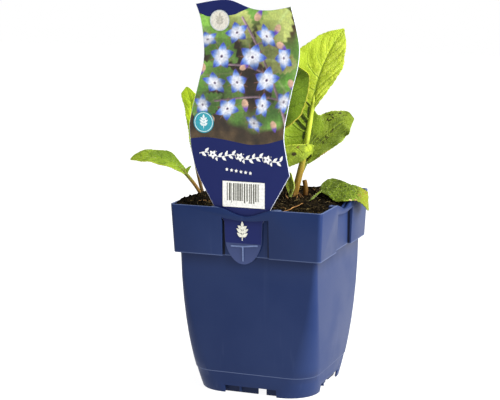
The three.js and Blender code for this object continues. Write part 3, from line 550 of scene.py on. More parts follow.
# Printed ornaments
PRINT_WHITE = (252, 252, 248)
PRINT_NAVY = (27, 36, 90)
GARLAND_STEPS = 72
GARLAND_START = (-33.5, 170)
GARLAND_RUN = (59, -2.6)
GARLAND_SWING = 1.1
GARLAND_WAVES = 3
GARLAND_WIDTH = 0.6
GARLAND_LEAF = (4.2, 1.9)
GARLAND_STARS = (12, 36, 60)
GARLAND_STAR = 3.2
GARLAND_DISC = 3.1
STAR_TURN = 0.3
ROW_STAR = 1.25
STAR_ROW = [(-13.4 + 3.4 * k, 159.9 - 0.36 * k) for k in range(6)]
PANEL = (-16.5, 134.4, 13.9, 152)
PANEL_PAPER = (252, 252, 244)
BARS = (-13.4, 10.4)
BAR_FOOT = 138.8
LONG_BAR_FOOT = 137.4
BAR_TOP = 150.8
BAR_WIDTHS = (0.4, 0.6, 0.9, 1.3)
BAR_GAPS = (0.4, 0.6, 0.9)
LONG_BARS = 0.2
BAR_SEED = 4
BAR_GREY = (88, 88, 76)
TONGUE_SPRIG = ((-2.2, 111.5), 11.6, (238, 238, 222))
# Painted highlights on the raised T-shaped ribs of the tongue, laid on as pale lines: their paths, width and
# tint
TONGUE_RIB_HIGHLIGHTS = [[(-10.6, 107.4), (-1, 107.6), (9, 108.7)], [(-1.8, 107.4), (-1.7, 102), (-1.6, 97.2)]]
TONGUE_RIB_HIGHLIGHT_WIDTH = 1.1
TONGUE_RIB_HIGHLIGHT_TINT = (104, 122, 166)

# Discs with a sprig on them: middle, rings as (radius, colour) from the outside in, and how far
# the sprig's foot is below the middle, its size and its colour
SPRIG_DISCS = [
    ((-18.2, 259.8), [(7, (196, 204, 206)), (6.3, (230, 226, 212))], 4.2, 8, (196, 192, 176)),
    ((-30.1, 191.3), [(7.4, (36, 150, 168)), (6.7, (216, 240, 242)), (6.2, (52, 164, 180))],
     4.3, 8.4, (236, 248, 248)),
]


# Colours
def linear(red, green, blue):
    """A colour given as screen values of 0 to 255, in the scene's linear light."""
    def channel(value):
        share = value / 255
        return share / 12.92 if share <= 0.04045 else ((share + 0.055) / 1.055) ** 2.4
    return (channel(red), channel(green), channel(blue), 1.0)


def tone(red, green, blue):
    """A printed colour as a vector of linear light."""
    return Vector(linear(red, green, blue)[:3])


# Node helpers
def place(tree, kind, inputs=None, **settings):
    """Add a shader node, set it up and fill or link its inputs."""
    node = tree.nodes.new("ShaderNode" + kind)
    for name, value in settings.items():
        setattr(node, name, value)
    for key, value in (inputs or {}).items():
        if isinstance(value, bpy.types.NodeSocket):
            tree.links.new(value, node.inputs[key])
        else:
            node.inputs[key].default_value = value
    return node


def calculate(tree, operation, *values):
    """A Math node on up to three values."""
    return place(tree, "Math", dict(enumerate(values)), operation=operation).outputs[0]


def times(tree, first, *others):
    """The product of values."""
    for other in others:
        first = calculate(tree, "MULTIPLY", first, other)
    return first


def vectors(tree, operation, first, second, result="Vector"):
    """A Vector Math node on two vectors, with its vector or its value as the result."""
    return place(tree, "VectorMath", {0: first, 1: second}, operation=operation).outputs[result]


def blend(tree, factor, first, second, mode="MIX"):
    """A colour between two colours."""
    inputs = {0: factor, 6: first, 7: second}
    return place(tree, "Mix", inputs, data_type="RGBA", blend_type=mode).outputs[2]


def cover(tree, colour, tint, *shares):
    """A colour covered by a tint, as far as the product of the shares."""
    return blend(tree, times(tree, *shares), colour, tint)


def fade(tree, value, low, high, to_low=0.0, to_high=1.0):
    """A value mapped smoothly from one range to another."""
    inputs = {"Value": value, "From Min": low, "From Max": high, "To Min": to_low, "To Max": to_high}
    node = place(tree, "MapRange", inputs, interpolation_type="SMOOTHSTEP")
    return node.outputs["Result"]


def band(tree, value, rise=None, fall=None):
    """How far a value lies between a rising and a falling step, each given as (start, end)."""
    steps = []
    if rise:
        steps.append(fade(tree, value, *rise))
    if fall:
        steps.append(fade(tree, value, *fall, 1.0, 0.0))
    return times(tree, *steps)


def ramp(tree, factor, stops):
    """A colour ramp with stops given as (position, colour)."""
    node = place(tree, "ValToRGB", {"Fac": factor})
    elements = node.color_ramp.elements
    while len(elements) < len(stops):
        elements.new(1.0)
    for element, (position, colour) in zip(elements, stops):
        element.position = position
        element.color = colour
    return node.outputs["Color"]


def speckle(tree, vector, scale, detail=2.0, distortion=0.0, roughness=0.5):
    """The value of a noise texture."""
    inputs = {"Vector": vector, "Scale": scale, "Detail": detail, "Distortion": distortion,
              "Roughness": roughness}
    return place(tree, "TexNoise", inputs).outputs["Fac"]


def cells(tree, vector, scale, feature="DISTANCE_TO_EDGE"):
    """The distance of a Voronoi texture."""
    node = place(tree, "TexVoronoi", {"Vector": vector, "Scale": scale}, feature=feature)
    return node.outputs["Distance"]


def here(tree):
    """The object's own coordinates."""
    return place(tree, "TexCoord").outputs["Object"]


def axes(tree, vector):
    """The three numbers of a vector."""
    return place(tree, "SeparateXYZ", {"Vector": vector}).outputs


def stretched(tree, vector, *scale):
    """Coordinates scaled by a number for each axis."""
    return place(tree, "Mapping", {"Vector": vector, "Scale": scale}).outputs["Vector"]


def bump(tree, height, distance, strength=1.0):
    """A normal raised by a height in metres."""
    inputs = {"Height": height, "Distance": distance, "Strength": strength}
    return place(tree, "Bump", inputs).outputs["Normal"]


def new_material(name, roughness, specular=0.5, subsurface=0.0):
    """A material with its plain values set on the shader's own sockets."""
    material = bpy.data.materials.new(name)
    material.use_nodes = True
    tree = material.node_tree
    shader = tree.nodes["Principled BSDF"]
    shader.inputs["Roughness"].default_value = roughness
    shader.inputs["Specular IOR Level"].default_value = specular
    if subsurface:
        shader.inputs["Subsurface Weight"].default_value = subsurface
        shader.inputs["Subsurface Radius"].default_value = (1.0, 1.2, 0.3)
        shader.inputs["Subsurface Scale"].default_value = 0.0015
    return material, tree, shader


def feed(tree, node, **sockets):
    """Link values to a node's inputs, named with underscores for spaces."""
    for name, value in sockets.items():
        tree.links.new(value, node.inputs[name.replace("_", " ")])


def new_group(name, **inputs):
    """A node group and what it is given: numbers with a default, and vectors, which have None."""
    group = bpy.data.node_groups.new(name, "ShaderNodeTree")
    for socket, default in inputs.items():
        kind = "NodeSocketVector" if default is None else "NodeSocketFloat"
        made = group.interface.new_socket(socket.replace("_", " "), in_out="INPUT", socket_type=kind)
        if default is not None:
            made.default_value = default
    return group, group.nodes.new("NodeGroupInput").outputs


def put_out(group, **results):
    """Lead results out of a node group, named with underscores for spaces."""
    for name in results:
        group.interface.new_socket(name.replace("_", " "), in_out="OUTPUT", socket_type="NodeSocketFloat")
    feed(group, group.nodes.new("NodeGroupOutput"), **results)


# Shared effects
def vein_group():
    """Midrib, side veins, net of small veins, margin, patches and streaks, from a blade's map."""
    group, given = new_group("Leaf veins", Map=None, Position=None, Vein_Count=8.0, Skew=0.15,
                             Edge=0.04, Net_Scale=NET_SCALE)
    position = given["Position"]
    chart = axes(group, given["Map"])
    side = calculate(group, "MULTIPLY_ADD", chart["X"], 2.0, -1.0)
    across = calculate(group, "ABSOLUTE", side)

    wander = calculate(group, "MULTIPLY_ADD", speckle(group, position, 90.0), VEIN_WANDER, chart["Y"])
    lag = times(group, calculate(group, "POWER", across, 1.5), given["Skew"])
    order = times(group, calculate(group, "SUBTRACT", wander, lag), given["Vein Count"])
    away = calculate(group, "PINGPONG", order, 0.5)
    width = calculate(group, "MULTIPLY_ADD", across, -VEIN_TAPER, VEIN_WIDTH)
    line = calculate(group, "SUBTRACT", 1.0, calculate(group, "DIVIDE", away, width))

    coarse = cells(group, position, given["Net Scale"])
    fine = cells(group, position, times(group, given["Net Scale"], FINE_NET))
    net = calculate(group, "MAXIMUM", band(group, coarse, fall=(0.02, 0.2)),
                    times(group, band(group, fine, fall=(0.02, 0.22)), FINE_NET_SHARE))

    def streaks(vector):
        return fade(group, speckle(group, vector, 1.0, 4.0), 0.44, 0.62)

    aslant = place(group, "CombineXYZ", {"X": times(group, order, 7.0), "Y": times(group, across, 6.0)})
    put_out(
        group,
        Side=side,
        Along=chart["Y"],
        Midrib=band(group, across, fall=(0.0, RIB_WIDTH)),
        Side_Veins=calculate(group, "MAXIMUM", line, 0.0),
        Net=net,
        Margin=fade(group, across, calculate(group, "SUBTRACT", 1.0, given["Edge"]), 1.0),
        Patches=fade(group, speckle(group, position, 110.0, 4.0), 0.38, 0.62),
        Streaks=streaks(stretched(group, given["Map"], 34.0, 3.4, 1.0)),
        Vein_Streaks=streaks(aslant.outputs["Vector"]),
    )
    return group


def wear_group():
    """Soft clouds, fine scratches and the grain of moulded plastic."""
    group, given = new_group("Plastic wear", Position=None, Scale=1.0)
    position, scale = given["Position"], given["Scale"]
    clouds = speckle(group, position, times(group, scale, 22.0), 3.0)
    scratches = speckle(group, stretched(group, position, 260.0, 260.0, 7.0), scale)
    put_out(
        group,
        Clouds=fade(group, clouds, 0.3, 0.7),
        Scratches=fade(group, scratches, 0.62, 0.8),
        Grain=speckle(group, position, times(group, scale, 1400.0)),
    )
    return group


# Materials
def pot_material(group, edge=False):
    """The pot's plastic: grain, faint scratches, wear, painted highlights and painted shade; paler along its
    edges as a painted highlight with some wear.
    """
    settings = bpy.context.scene.borage_pot
    name = "pot_edge" if edge else "pot_plastic"
    material, tree, shader = new_material(name, settings.roughness, 0.12)
    position = here(tree)
    wear = place(tree, "Group", {"Position": position, "Scale": 1.0}, node_tree=group).outputs
    # The pale colour serves for wear in the clouds and scratches, and for painted highlights on the edge
    # lines and on the bevels of the edge material.
    worn_and_highlit = (*settings.pale_colour, 1.0)
    colour = cover(tree, worn_and_highlit if edge else (*settings.colour, 1.0), worn_and_highlit, wear["Clouds"], 0.03)
    colour = cover(tree, colour, worn_and_highlit, wear["Scratches"], 0.04)
    at = axes(tree, position)
    x, y, height = (times(tree, calculate(tree, "ABSOLUTE", at[axis]), 1 / MM) for axis in "XYZ")
    measures = {"height": height, "out": calculate(tree, "MAXIMUM", x, y),
                "aside": calculate(tree, "MINIMUM", x, y)}
    # Painted highlights on the rim, seam and collar lip; painted shade in the slits, under the collar and
    # inside the foot.
    for tint, share, bands in POT_TINTS:
        masks = [band(tree, measures[measure], rise, fall) for measure, rise, fall in bands]
        colour = cover(tree, colour, linear(*tint) if tint else worn_and_highlit, share, *masks)
    rough = fade(tree, wear["Clouds"], 0.0, 1.0, settings.roughness - 0.05, settings.roughness + 0.07)
    feed(tree, shader, Base_Color=colour, Roughness=rough, Normal=bump(tree, wear["Grain"], 0.00006, 0.5))
    return material


def soil_material():
    """Moist compost: dark, with browner crumbs, a few pale flecks and damp patches."""
    settings = bpy.context.scene.borage_soil
    material, tree, shader = new_material("moist_compost", 1.0, 0.03)
    position = here(tree)
    grain = speckle(tree, position, 420.0, 6.0, 1.4, 0.62)
    dark, brown = (*settings.dark_colour, 1.0), (*settings.brown_colour, 1.0)
    crumbly = ramp(tree, grain, [(0.42, dark), (0.56, brown), (0.65, linear(56, 46, 24)),
                                 (0.73, linear(108, 90, 48))])
    damp = fade(tree, speckle(tree, position, 70.0, 3.0), 0.4, 0.62)
    feed(tree, shader, Base_Color=cover(tree, crumbly, dark, damp, 0.65),
         Normal=bump(tree, grain, 0.0012, 0.9))
    return material


def fibre_material(name, pale, deep):
    """Dry fibre, cloudy between a pale and a deep colour."""
    material, tree, shader = new_material(name, 0.75, 0.3)
    tint = speckle(tree, here(tree), 160.0, 3.0)
    feed(tree, shader, Base_Color=ramp(tree, tint, [(0.35, linear(*deep)), (0.65, linear(*pale))]),
         Normal=bump(tree, tint, 0.0004))
    return material


def patch(tree, spot, mark):
    """How far a place of the blade lies inside a mark."""
    middle, share, reach_across, reach_along = mark[:4]
    offset = vectors(tree, "SUBTRACT", spot, (middle, share, 0))
    offset = vectors(tree, "DIVIDE", offset, (reach_across, reach_along, 1))
    return band(tree, vectors(tree, "DOT_PRODUCT", offset, offset, "Value"), fall=(0.35, 1.1))


def hollow(tree, spot, shaded):
    """The shade in a hollow below a raised vein: a soft band between two places of the blade."""
    chart = Vector((CHART_WIDE, CHART_LONG, 0))
    start, end = (Vector((*shaded[k:k + 2], 0)) * chart for k in (0, 2))
    leg = end - start
    gap = vectors(tree, "SUBTRACT", vectors(tree, "MULTIPLY", spot, chart), start)
    ahead = vectors(tree, "DOT_PRODUCT", gap, leg / leg.length_squared, "Value")
    share = place(tree, "Clamp", {"Value": ahead}).outputs["Result"]
    nearest = place(tree, "VectorMath", {0: leg, "Scale": share}, operation="SCALE").outputs["Vector"]
    away = vectors(tree, "DISTANCE", gap, nearest, "Value")
    return band(tree, away, fall=(shaded[4] * 0.35, shaded[4]))


def spots(tree, chart, net, rows):
    """Small dark spots along rows of the blade: a mask for each row."""
    spread = stretched(tree, chart, 24.0, 20.0, 1.0)
    dots = band(tree, cells(tree, spread, 1.0, "F1"), fall=(0.3, 0.46))
    dots = times(tree, dots, fade(tree, speckle(tree, spread, 0.5, 1.0), 0.38, 0.43))
    for middle, half, start, end in rows:
        away = calculate(tree, "ABSOLUTE", calculate(tree, "SUBTRACT", net["Side"], middle))
        yield times(tree, dots, band(tree, away, fall=(half * 0.6, half)),
                    band(tree, net["Along"], (start, start + 0.03), (end - 0.03, end)))


def upper_tints(tree, colour, net, look):
    """What tints the upper side alone below its veins: the foot and the streaks."""
    if "foot" in look:
        tint, end = look["foot"]
        colour = cover(tree, colour, linear(*tint), fade(tree, net["Along"], end * 0.55, end, 0.85, 0.0))
    if "streak" in look:
        tint, share = look["streak"]
        amount = times(tree, net[look.get("streaks_run", "Streaks")], share)
        if look.get("streak_side"):
            amount = times(tree, amount, fade(tree, net["Side"], -0.3, 0.1, 0.25, 1.0))
        colour = cover(tree, colour, linear(*tint), amount)
    return colour


def leaf_material(name, look, group, veins, underside):
    """One side of a blade: patches, streaks, net, veins, midrib, margin, marks and spots."""
    material, tree, shader = new_material(name, 0.5, 0.1, subsurface=0.12)
    chart = place(tree, "UVMap", uv_map="UVMap").outputs["UV"]
    net = place(tree, "Group", {"Map": chart, "Position": here(tree), "Vein Count": float(veins),
                                "Skew": look["skew"], "Edge": look["edge"]}, node_tree=group).outputs
    prefix = "under_" if underside else ""
    dark, light = (linear(*look[prefix + key]) for key in ("dark", "light"))
    colour = blend(tree, net["Patches"], dark, light)
    if "tip" in look:
        tint, start = look["tip"]
        beyond = fade(tree, net["Along"], start - 0.12, start + 0.06, 0.0, 0.9)
        colour = cover(tree, colour, linear(*tint), beyond)
    if not underside:
        colour = upper_tints(tree, colour, net, look)

    veined = fade(tree, net["Side"], -0.05, 0.05, 1.0, look.get("right_veins", 1.0))
    for key, mask in (("net", "Net"), ("vein", "Side Veins"), ("rib", "Midrib"), ("margin", "Margin")):
        tint, share = look[key]
        if underside and key != "margin":
            tint, share = look.get("under_" + key, (tint, share * 0.35))
        shares = [net[mask], share, veined] if key == "vein" else [net[mask], share]
        colour = cover(tree, colour, linear(*tint), *shares)

    spot = place(tree, "CombineXYZ", {"X": net["Side"], "Y": net["Along"]}).outputs["Vector"]
    marks = look.get("marks", [])
    if not underside:
        for shaded in look.get("hollows", ()):
            colour = cover(tree, colour, linear(*HOLLOW_SHADE), hollow(tree, spot, shaded), 0.95)
        marks = marks + look.get("upper_marks", [])
    for mark in marks:
        tint, strength = mark[4:]
        colour = cover(tree, colour, linear(*tint), patch(tree, spot, mark), strength)
    if "spot_rows" in look:
        for row in spots(tree, chart, net, look["spot_rows"]):
            colour = cover(tree, colour, linear(*SPOT_BROWN), row)

    sign = 0.6 if underside else -0.6
    height = calculate(tree, "MULTIPLY_ADD", net["Side Veins"], sign, times(tree, net["Net"], sign * 0.5))
    feed(tree, shader, Base_Color=colour, Normal=bump(tree, height, 0.0006, 0.7))
    return material


def stalk_material(name, stops):
    """A stalk whose colour changes with height, with fine lengthwise lines."""
    material, tree, shader = new_material(name, 0.45, 0.15, subsurface=0.08)
    position = here(tree)
    lines = speckle(tree, stretched(tree, position, 900.0, 900.0, 40.0), 1.0, 3.0)
    wander = calculate(tree, "MULTIPLY_ADD", lines, 0.006, axes(tree, position)["Z"])
    low, high = stops[0][0], stops[-1][0]
    share = fade(tree, wander, low * MM, high * MM)
    colour = ramp(tree, share, [((at - low) / (high - low), linear(*tint)) for at, tint in stops])
    shade = ramp(tree, fade(tree, lines, 0.42, 0.72), [(0.0, (1, 1, 1, 1)), (1.0, (0.6, 0.55, 0.5, 1))])
    feed(tree, shader, Base_Color=blend(tree, 1.0, colour, shade, "MULTIPLY"),
         Normal=bump(tree, lines, 0.0003, 0.6))
    return material


def hair_material():
    """Pale bristles, slightly uneven."""
    material, tree, shader = new_material("leaf_hair", 0.5, 0.4)
    tint = speckle(tree, here(tree), 300.0)
    colour = ramp(tree, tint, [(0.3, linear(206, 214, 150)), (0.7, linear(238, 240, 214))])
    feed(tree, shader, Base_Color=colour)
    return material


def print_material():
    """Printing ink that takes its colour from the printed shapes, with a faint grain."""
    material, tree, shader = new_material("label_print", 0.32, 0.4)
    tint = place(tree, "VertexColor", layer_name="Tint").outputs["Color"]
    grain = fade(tree, speckle(tree, here(tree), 700.0, 3.0), 0.3, 0.7)
    screen = ramp(tree, grain, [(0.0, linear(226, 226, 230)), (1.0, (1, 1, 1, 1))])
    feed(tree, shader, Base_Color=blend(tree, 1.0, tint, screen, "MULTIPLY"))
    return material


def navy_material():
    """The plain printed colour of the band and of the cap, with a slight cloudiness."""
    settings = bpy.context.scene.borage_label
    material, tree, shader = new_material("label_ink", 0.3, 0.12)
    cloud = fade(tree, speckle(tree, here(tree), 30.0, 3.0), 0.3, 0.7, 0.0, 0.1)
    feed(tree, shader, Base_Color=cover(tree, (*settings.colour, 1.0), linear(46, 58, 118), cloud))
    return material


def board_material():
    """Label plastic: pale along the cut edges, blue where it lies before the pot."""
    material, tree, shader = new_material("label_plastic", 0.3, 0.3)
    position = here(tree)
    cloud = speckle(tree, position, 45.0, 3.0)
    pale = ramp(tree, cloud, [(0.3, linear(196, 202, 218)), (0.7, linear(216, 220, 230))])
    blue = ramp(tree, cloud, [(0.3, linear(44, 58, 102)), (0.7, linear(54, 68, 114))])
    share = fade(tree, axes(tree, position)["Z"], 124 * MM, 130 * MM)
    feed(tree, shader, Base_Color=blend(tree, share, blue, pale))
    return material


# Modelling helpers
def pick(*objects):
    """Select these objects alone; the first is active."""
    bpy.ops.object.select_all(action="DESELECT")
    for obj in objects:
        obj.select_set(True)
    bpy.context.view_layer.objects.active = objects[0]


def add(operator, **settings):
    """Add a new object, with everything else deselected first."""
    bpy.ops.object.select_all(action="DESELECT")
    operator(**settings)
    return bpy.context.object


def reshape(obj, operator, whole=True, **settings):
    """Run an edit on all of a mesh, or on what is selected in it."""
    pick(obj)
    bpy.ops.object.mode_set(mode="EDIT")
    if whole:
        bpy.ops.mesh.select_all(action="SELECT")
    operator(**settings)
    bpy.ops.object.mode_set(mode="OBJECT")


def apply_modifier(obj, kind, **settings):
    """Add a modifier with its settings and apply it."""
    pick(obj)
    modifier = obj.modifiers.new(kind.title(), kind)
    for name, value in settings.items():
        setattr(modifier, name, value)
    bpy.ops.object.modifier_apply(modifier=modifier.name)


def paint(obj, materials):
    """Give an object its materials, in the order of its slots."""
    obj.data.materials.clear()
    for material in materials:
        obj.data.materials.append(material)


def finish(obj, name, slot, materials=None, nodes=()):
    """Name a piece, put its place in its mesh, dress it and fix it to the pot."""
    pick(obj)
    bpy.ops.object.transform_apply(location=True, rotation=True, scale=True)
    obj.name = name
    obj.data.name = name
    if materials:
        paint(obj, materials)
    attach(obj, "root")
    if nodes:
        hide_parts(*nodes)


def new_object(name, mesh):
    """An object in the scene for a mesh."""
    obj = bpy.data.objects.new(name, mesh)
    bpy.context.scene.collection.objects.link(obj)
    return obj


def mesh_object(name, points, faces):
    """An object from points in millimetres and faces."""
    mesh = bpy.data.meshes.new(name)
    mesh.from_pydata([Vector(point) * MM for point in points], [], faces)
    mesh.update()
    return new_object(name, mesh)


def merged_copy(node, name):
    """A copy of a solid with its loose triangles merged."""
    obj = new_object(name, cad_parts[node].data.copy())
    reshape(obj, bpy.ops.mesh.remove_doubles, threshold=1e-6)
    return obj


def bezier(points, share):
    """A point of a cubic curve."""
    first, second, third, last = (Vector(point) for point in points)
    rest = 1 - share
    return (first * rest ** 3 + second * (3 * rest * rest * share)
            + third * (3 * rest * share * share) + last * share ** 3)


def heading(points, share):
    """The direction of a cubic curve."""
    first, second, third, last = (Vector(point) for point in points)
    rest = 1 - share
    along = ((second - first) * rest * rest + (third - second) * (2 * rest * share)
             + (last - third) * share * share)
    return along.normalized()


def between(rows, share, column):
    """A value between rows, smooth and without overshoot; one that is left out is zero."""
    at = [row[0] for row in rows]
    value = [row[column] if column < len(row) else 0 for row in rows]
    last = len(rows) - 1
    if share <= at[0]:
        return value[0]
    if share >= at[last]:
        return value[last]
    slope = [(value[i + 1] - value[i]) / (at[i + 1] - at[i]) for i in range(last)]
    tangent = [slope[0]]
    for i in range(1, last):
        product = slope[i - 1] * slope[i]
        tangent.append(0 if product <= 0 else 2 * product / (slope[i - 1] + slope[i]))
    tangent.append(slope[-1])
    i = max(k for k in range(last) if at[k] <= share)
    span = at[i + 1] - at[i]
    t = (share - at[i]) / span
    return (value[i] * (1 + 2 * t) * (1 - t) ** 2 + tangent[i] * span * t * (1 - t) ** 2
            + value[i + 1] * t * t * (3 - 2 * t) + tangent[i + 1] * span * t * t * (t - 1))


def smooth(share):
    """A share of 0 to 1 with a soft start and a soft end."""
    t = min(1, max(0, share))
    return t * t * (3 - 2 * t)


def random_vector(draw):
    """A vector with each number drawn from -1 to 1."""
    return Vector([draw.uniform(-1, 1) for _ in range(3)])


def ring(centre, ahead, radius, count):
    """Points of a ring round a direction."""
    side = ahead.orthogonal().normalized()
    other = ahead.normalized().cross(side)
    angles = [k * 2 * math.pi / count for k in range(count)]
    return [centre + side * (radius * math.cos(angle)) + other * (radius * math.sin(angle))
            for angle in angles]


# Leaves
def section(leaf, along, side):
    """One half of the blade across the midrib: steps of (out, up, angle), length and sweep."""
    rows = leaf["left"] if side < 0 else leaf["right"]
    length, rise, curl, sweep = (between(rows, along, column) for column in (1, 2, 3, 4))
    fold = leaf.get("fold") if side < 0 else None
    step = length * math.cos(math.radians(sweep)) / PROFILE_STEPS

    def angle(place_at):
        share = place_at / PROFILE_STEPS
        if fold:
            middle, half = fold
            share = smooth((share - middle + half) / (2 * half))
        return math.radians(rise + curl * share)

    out = up = 0
    steps = [(0, 0, angle(0))]
    for i in range(PROFILE_STEPS):
        out += math.cos(angle(i + 0.5)) * step
        up += math.sin(angle(i + 0.5)) * step
        steps.append((out, up, angle(i + 1)))
    return steps, length, math.radians(sweep)


def blade_row(leaf, along):
    """What all points of a blade at one share of the midrib have in common."""
    forward = heading(leaf["rib"], along)
    face = Vector(leaf["face"][0]).lerp(Vector(leaf["face"][1]), along)
    face = (face - forward * face.dot(forward)).normalized()
    sections = {side: section(leaf, along, side) for side in (-1, 1)}
    return bezier(leaf["rib"], along), forward, face, forward.cross(face), sections


def blade_lift(leaf, along, side, share, length):
    """How far waves, bulges, net and furrow lift the blade, and how far a tooth moves it out."""
    fade_in = min(1, 6 * along) * min(1, 5 * (1 - along))
    amount, count, start = leaf["wave"]
    phase = 2 * math.pi * (count * along + start) + (0 if side > 0 else 2)
    lift = amount * math.sin(phase) * share ** 2 * fade_in
    order = leaf["veins"] * (along - leaf["skew"] * share ** 1.5)
    quilt = abs(math.sin(math.pi * order)) ** 0.7
    lift += leaf["quilt"] * quilt * math.sin(math.pi * share) ** 0.6 * fade_in
    flat = Vector((side * share * length, along * RELIEF_LONG + leaf["veins"], 0)) / RELIEF_CELL
    near, next_near = noise.voronoi(flat)[0][:2]
    lift += leaf["relief"] * min(1, 2.2 * (next_near - near)) * fade_in * min(1, length / 6)
    lift -= leaf["groove"] * math.exp(-((share * length / GROOVE_HALF) ** 2)) * fade_in
    jag = math.sin(2 * math.pi * along * TEETH + 4 * noise.noise(flat))
    return lift, TOOTH_DEPTH * share ** 8 * fade_in * jag


def blade_point(leaf, row, along, across):
    """A point of the blade: across runs from -1 at the left margin to 1 at the right one."""
    origin, forward, face, right, sections = row
    side = -1 if across < 0 else 1
    share = abs(across)
    steps, length, sweep = sections[side]
    i = min(PROFILE_STEPS - 1, int(share * PROFILE_STEPS))
    part = share * PROFILE_STEPS - i
    out, up, angle = (a + (b - a) * part for a, b in zip(steps[i], steps[i + 1]))
    lift, tooth = blade_lift(leaf, along, side, share, length)
    return (origin + right * (side * (out - math.sin(angle) * lift + tooth))
            + face * (up + math.cos(angle) * lift)
            + forward * (length * math.sin(sweep) * share))


def blade(leaf, materials):
    """A blade: a grid shaped by formula, with its thickness applied and both sides painted."""
    left, right, rows = leaf["cells"]
    total = left + right
    obj = add(bpy.ops.mesh.primitive_grid_add, x_subdivisions=total, y_subdivisions=rows, size=1)
    made = {}
    charts = []
    for vertex in obj.data.vertices:
        column = round((vertex.co.x + 0.5) * total) - left
        across = column / left if column < 0 else column / right
        along = min(1, max(0, vertex.co.y + 0.5))
        key = round(along * rows)
        if key not in made:
            made[key] = blade_row(leaf, along)
        charts.append((0.5 + across / 2, along))
        vertex.co = blade_point(leaf, made[key], along, across) * MM
    chart = obj.data.uv_layers.active.data
    for loop in obj.data.loops:
        chart[loop.index].uv = charts[loop.vertex_index]
    paint(obj, materials)
    apply_modifier(obj, "SOLIDIFY", thickness=BLADE_THICKNESS * MM, offset=0, material_offset=1)
    return obj


def stem(points, radii, sides=5):
    """A round stem through points, with a radius at each."""
    obj = add(bpy.ops.curve.primitive_bezier_curve_add)
    curve = obj.data
    curve.bevel_depth = MM
    curve.bevel_resolution = sides
    curve.resolution_u = 4
    curve.use_fill_caps = True
    spline = curve.splines[0]
    spline.bezier_points.add(len(points) - 2)
    last = len(points) - 1
    for i, (knot, at, radius) in enumerate(zip(spline.bezier_points, points, radii)):
        lean = (points[min(last, i + 1)] - points[max(0, i - 1)]) / 6
        knot.handle_left_type = "FREE"
        knot.handle_right_type = "FREE"
        knot.co = at * MM
        knot.handle_left = (at - lean) * MM
        knot.handle_right = (at + lean) * MM
        knot.radius = radius
    bpy.ops.object.convert(target="MESH")
    return bpy.context.object


def stalk_line(plant):
    """The points and the radii of a stalk."""
    thick, thin = plant["stalk_radius"]
    shares = [i / STALK_STEPS for i in range(STALK_STEPS + 1)]
    return ([bezier(plant["stalk"], share) for share in shares],
            [thick + (thin - thick) * share for share in shares])


def leaf_stem(leaf):
    """The stalk and the rib: it shows on the blade up to a share, then runs on underneath."""
    points, radii = stalk_line(leaf)
    thin = leaf["stalk_radius"][1]
    for i in range(1, RIB_STEPS + 1):
        share = RIB_END * i / RIB_STEPS
        radius = thin + (RIB_TIP_RADIUS - thin) * share / RIB_END
        normal = blade_row(leaf, share)[2]
        dive = min(1, max(0, (share - leaf["ridge"]) / RIB_DIVE))
        points.append(bezier(leaf["rib"], share) - normal * (dive * (radius + RIB_HIDE) + RIB_SINK))
        radii.append(radius)
    return stem(points, radii)


def raised_vein(leaf, path):
    """A side vein that stands out of the blade, through places given along and across it."""
    points = []
    for along, across in path:
        row = blade_row(leaf, along)
        points.append(blade_point(leaf, row, along, across) + row[2] * RAISED_LIFT)
    radii = [RAISED_RADIUS * (1 - RAISED_TAPER * i) for i in range(len(points))]
    return stem(points, radii, sides=3)


def hairs(obj, count, length, seed):
    """Thin three-sided bristles standing out of a surface, at random places of its faces."""
    draw = random.Random(seed)
    polygons = obj.data.polygons
    weights = [polygon.area for polygon in polygons]
    points, faces = [], []
    for polygon in draw.choices(polygons, weights, k=count):
        direction = (polygon.normal + random_vector(draw) * HAIR_LEAN).normalized()
        root = polygon.center / MM - direction * HAIR_ROOT
        start = len(points)
        points.extend(ring(root, direction, HAIR_RADIUS, 3))
        points.append(root + direction * (length * draw.uniform(0.6, 1.2)))
        faces.extend([(start, start + 1, start + 3), (start + 1, start + 2, start + 3),
                      (start + 2, start, start + 3), (start, start + 2, start + 1)])
    return mesh_object("hairs", points, faces)


def blades(name, leaf, group):
    """The blade of a leaf, and its lobe and its scrap where it has them."""
    shapes = [(name, leaf)]
    shapes += [(look, leaf[look]) for look in ("lobe", "scrap") if look in leaf]
    for look, shape in shapes:
        yield blade(shape, [leaf_material(look + side, LOOKS[look], group, shape["veins"], underside)
                            for side, underside in (("_upper", False), ("_under", True))])


def build_leaf(name, leaf, group, hair):
    """A whole leaf with blade, stalk, raised veins and hairs, joined in one piece."""
    parts = list(blades(name, leaf, group))
    stalk = leaf_stem(leaf)
    paint(stalk, [stalk_material(name + "_stalk", STALKS[name])])
    parts.append(stalk)
    if "raised" in leaf:
        vein_paint = stalk_material(name + "_vein", STALKS["raised_vein"])
        for path in leaf["raised"]:
            parts.append(raised_vein(leaf, path))
            paint(parts[-1], [vein_paint])
    settings = bpy.context.scene.borage_leaves
    length = settings.hair_length / MM
    hairy = [(stalk, STALK_HAIRS, 1, 3), (parts[0], BLADE_HAIRS, BLADE_HAIR_SHARE, 5)]
    for part, count, share, seed in hairy:
        parts.append(hairs(part, int(count * settings.hair_density), length * share, seed))
        paint(parts[-1], [hair])
    pick(*parts)
    bpy.ops.object.shade_smooth()
    bpy.ops.object.join()
    finish(bpy.context.object, name + "_fine", leaf["slot"], nodes=[name])


# Soil
def soil_height(x, y):
    """The level of the soil with its heaps, hollows and crumbs."""
    level = SOIL_LEVEL
    for rise, middle, reach in SOIL_SWELLS:
        level += rise * math.exp(-(((x - middle[0]) / reach[0]) ** 2) - ((y - middle[1]) / reach[1]) ** 2)
    at = Vector((x, y, 3))
    rough = noise.fractal(at / ROUGH_REACH, 0.9, 2.1, 5) * ROUGH_RISE
    clod = noise.voronoi(at / CLOD_REACH)[0]
    return level + SOIL_LIFT + rough + (clod[1] - clod[0])


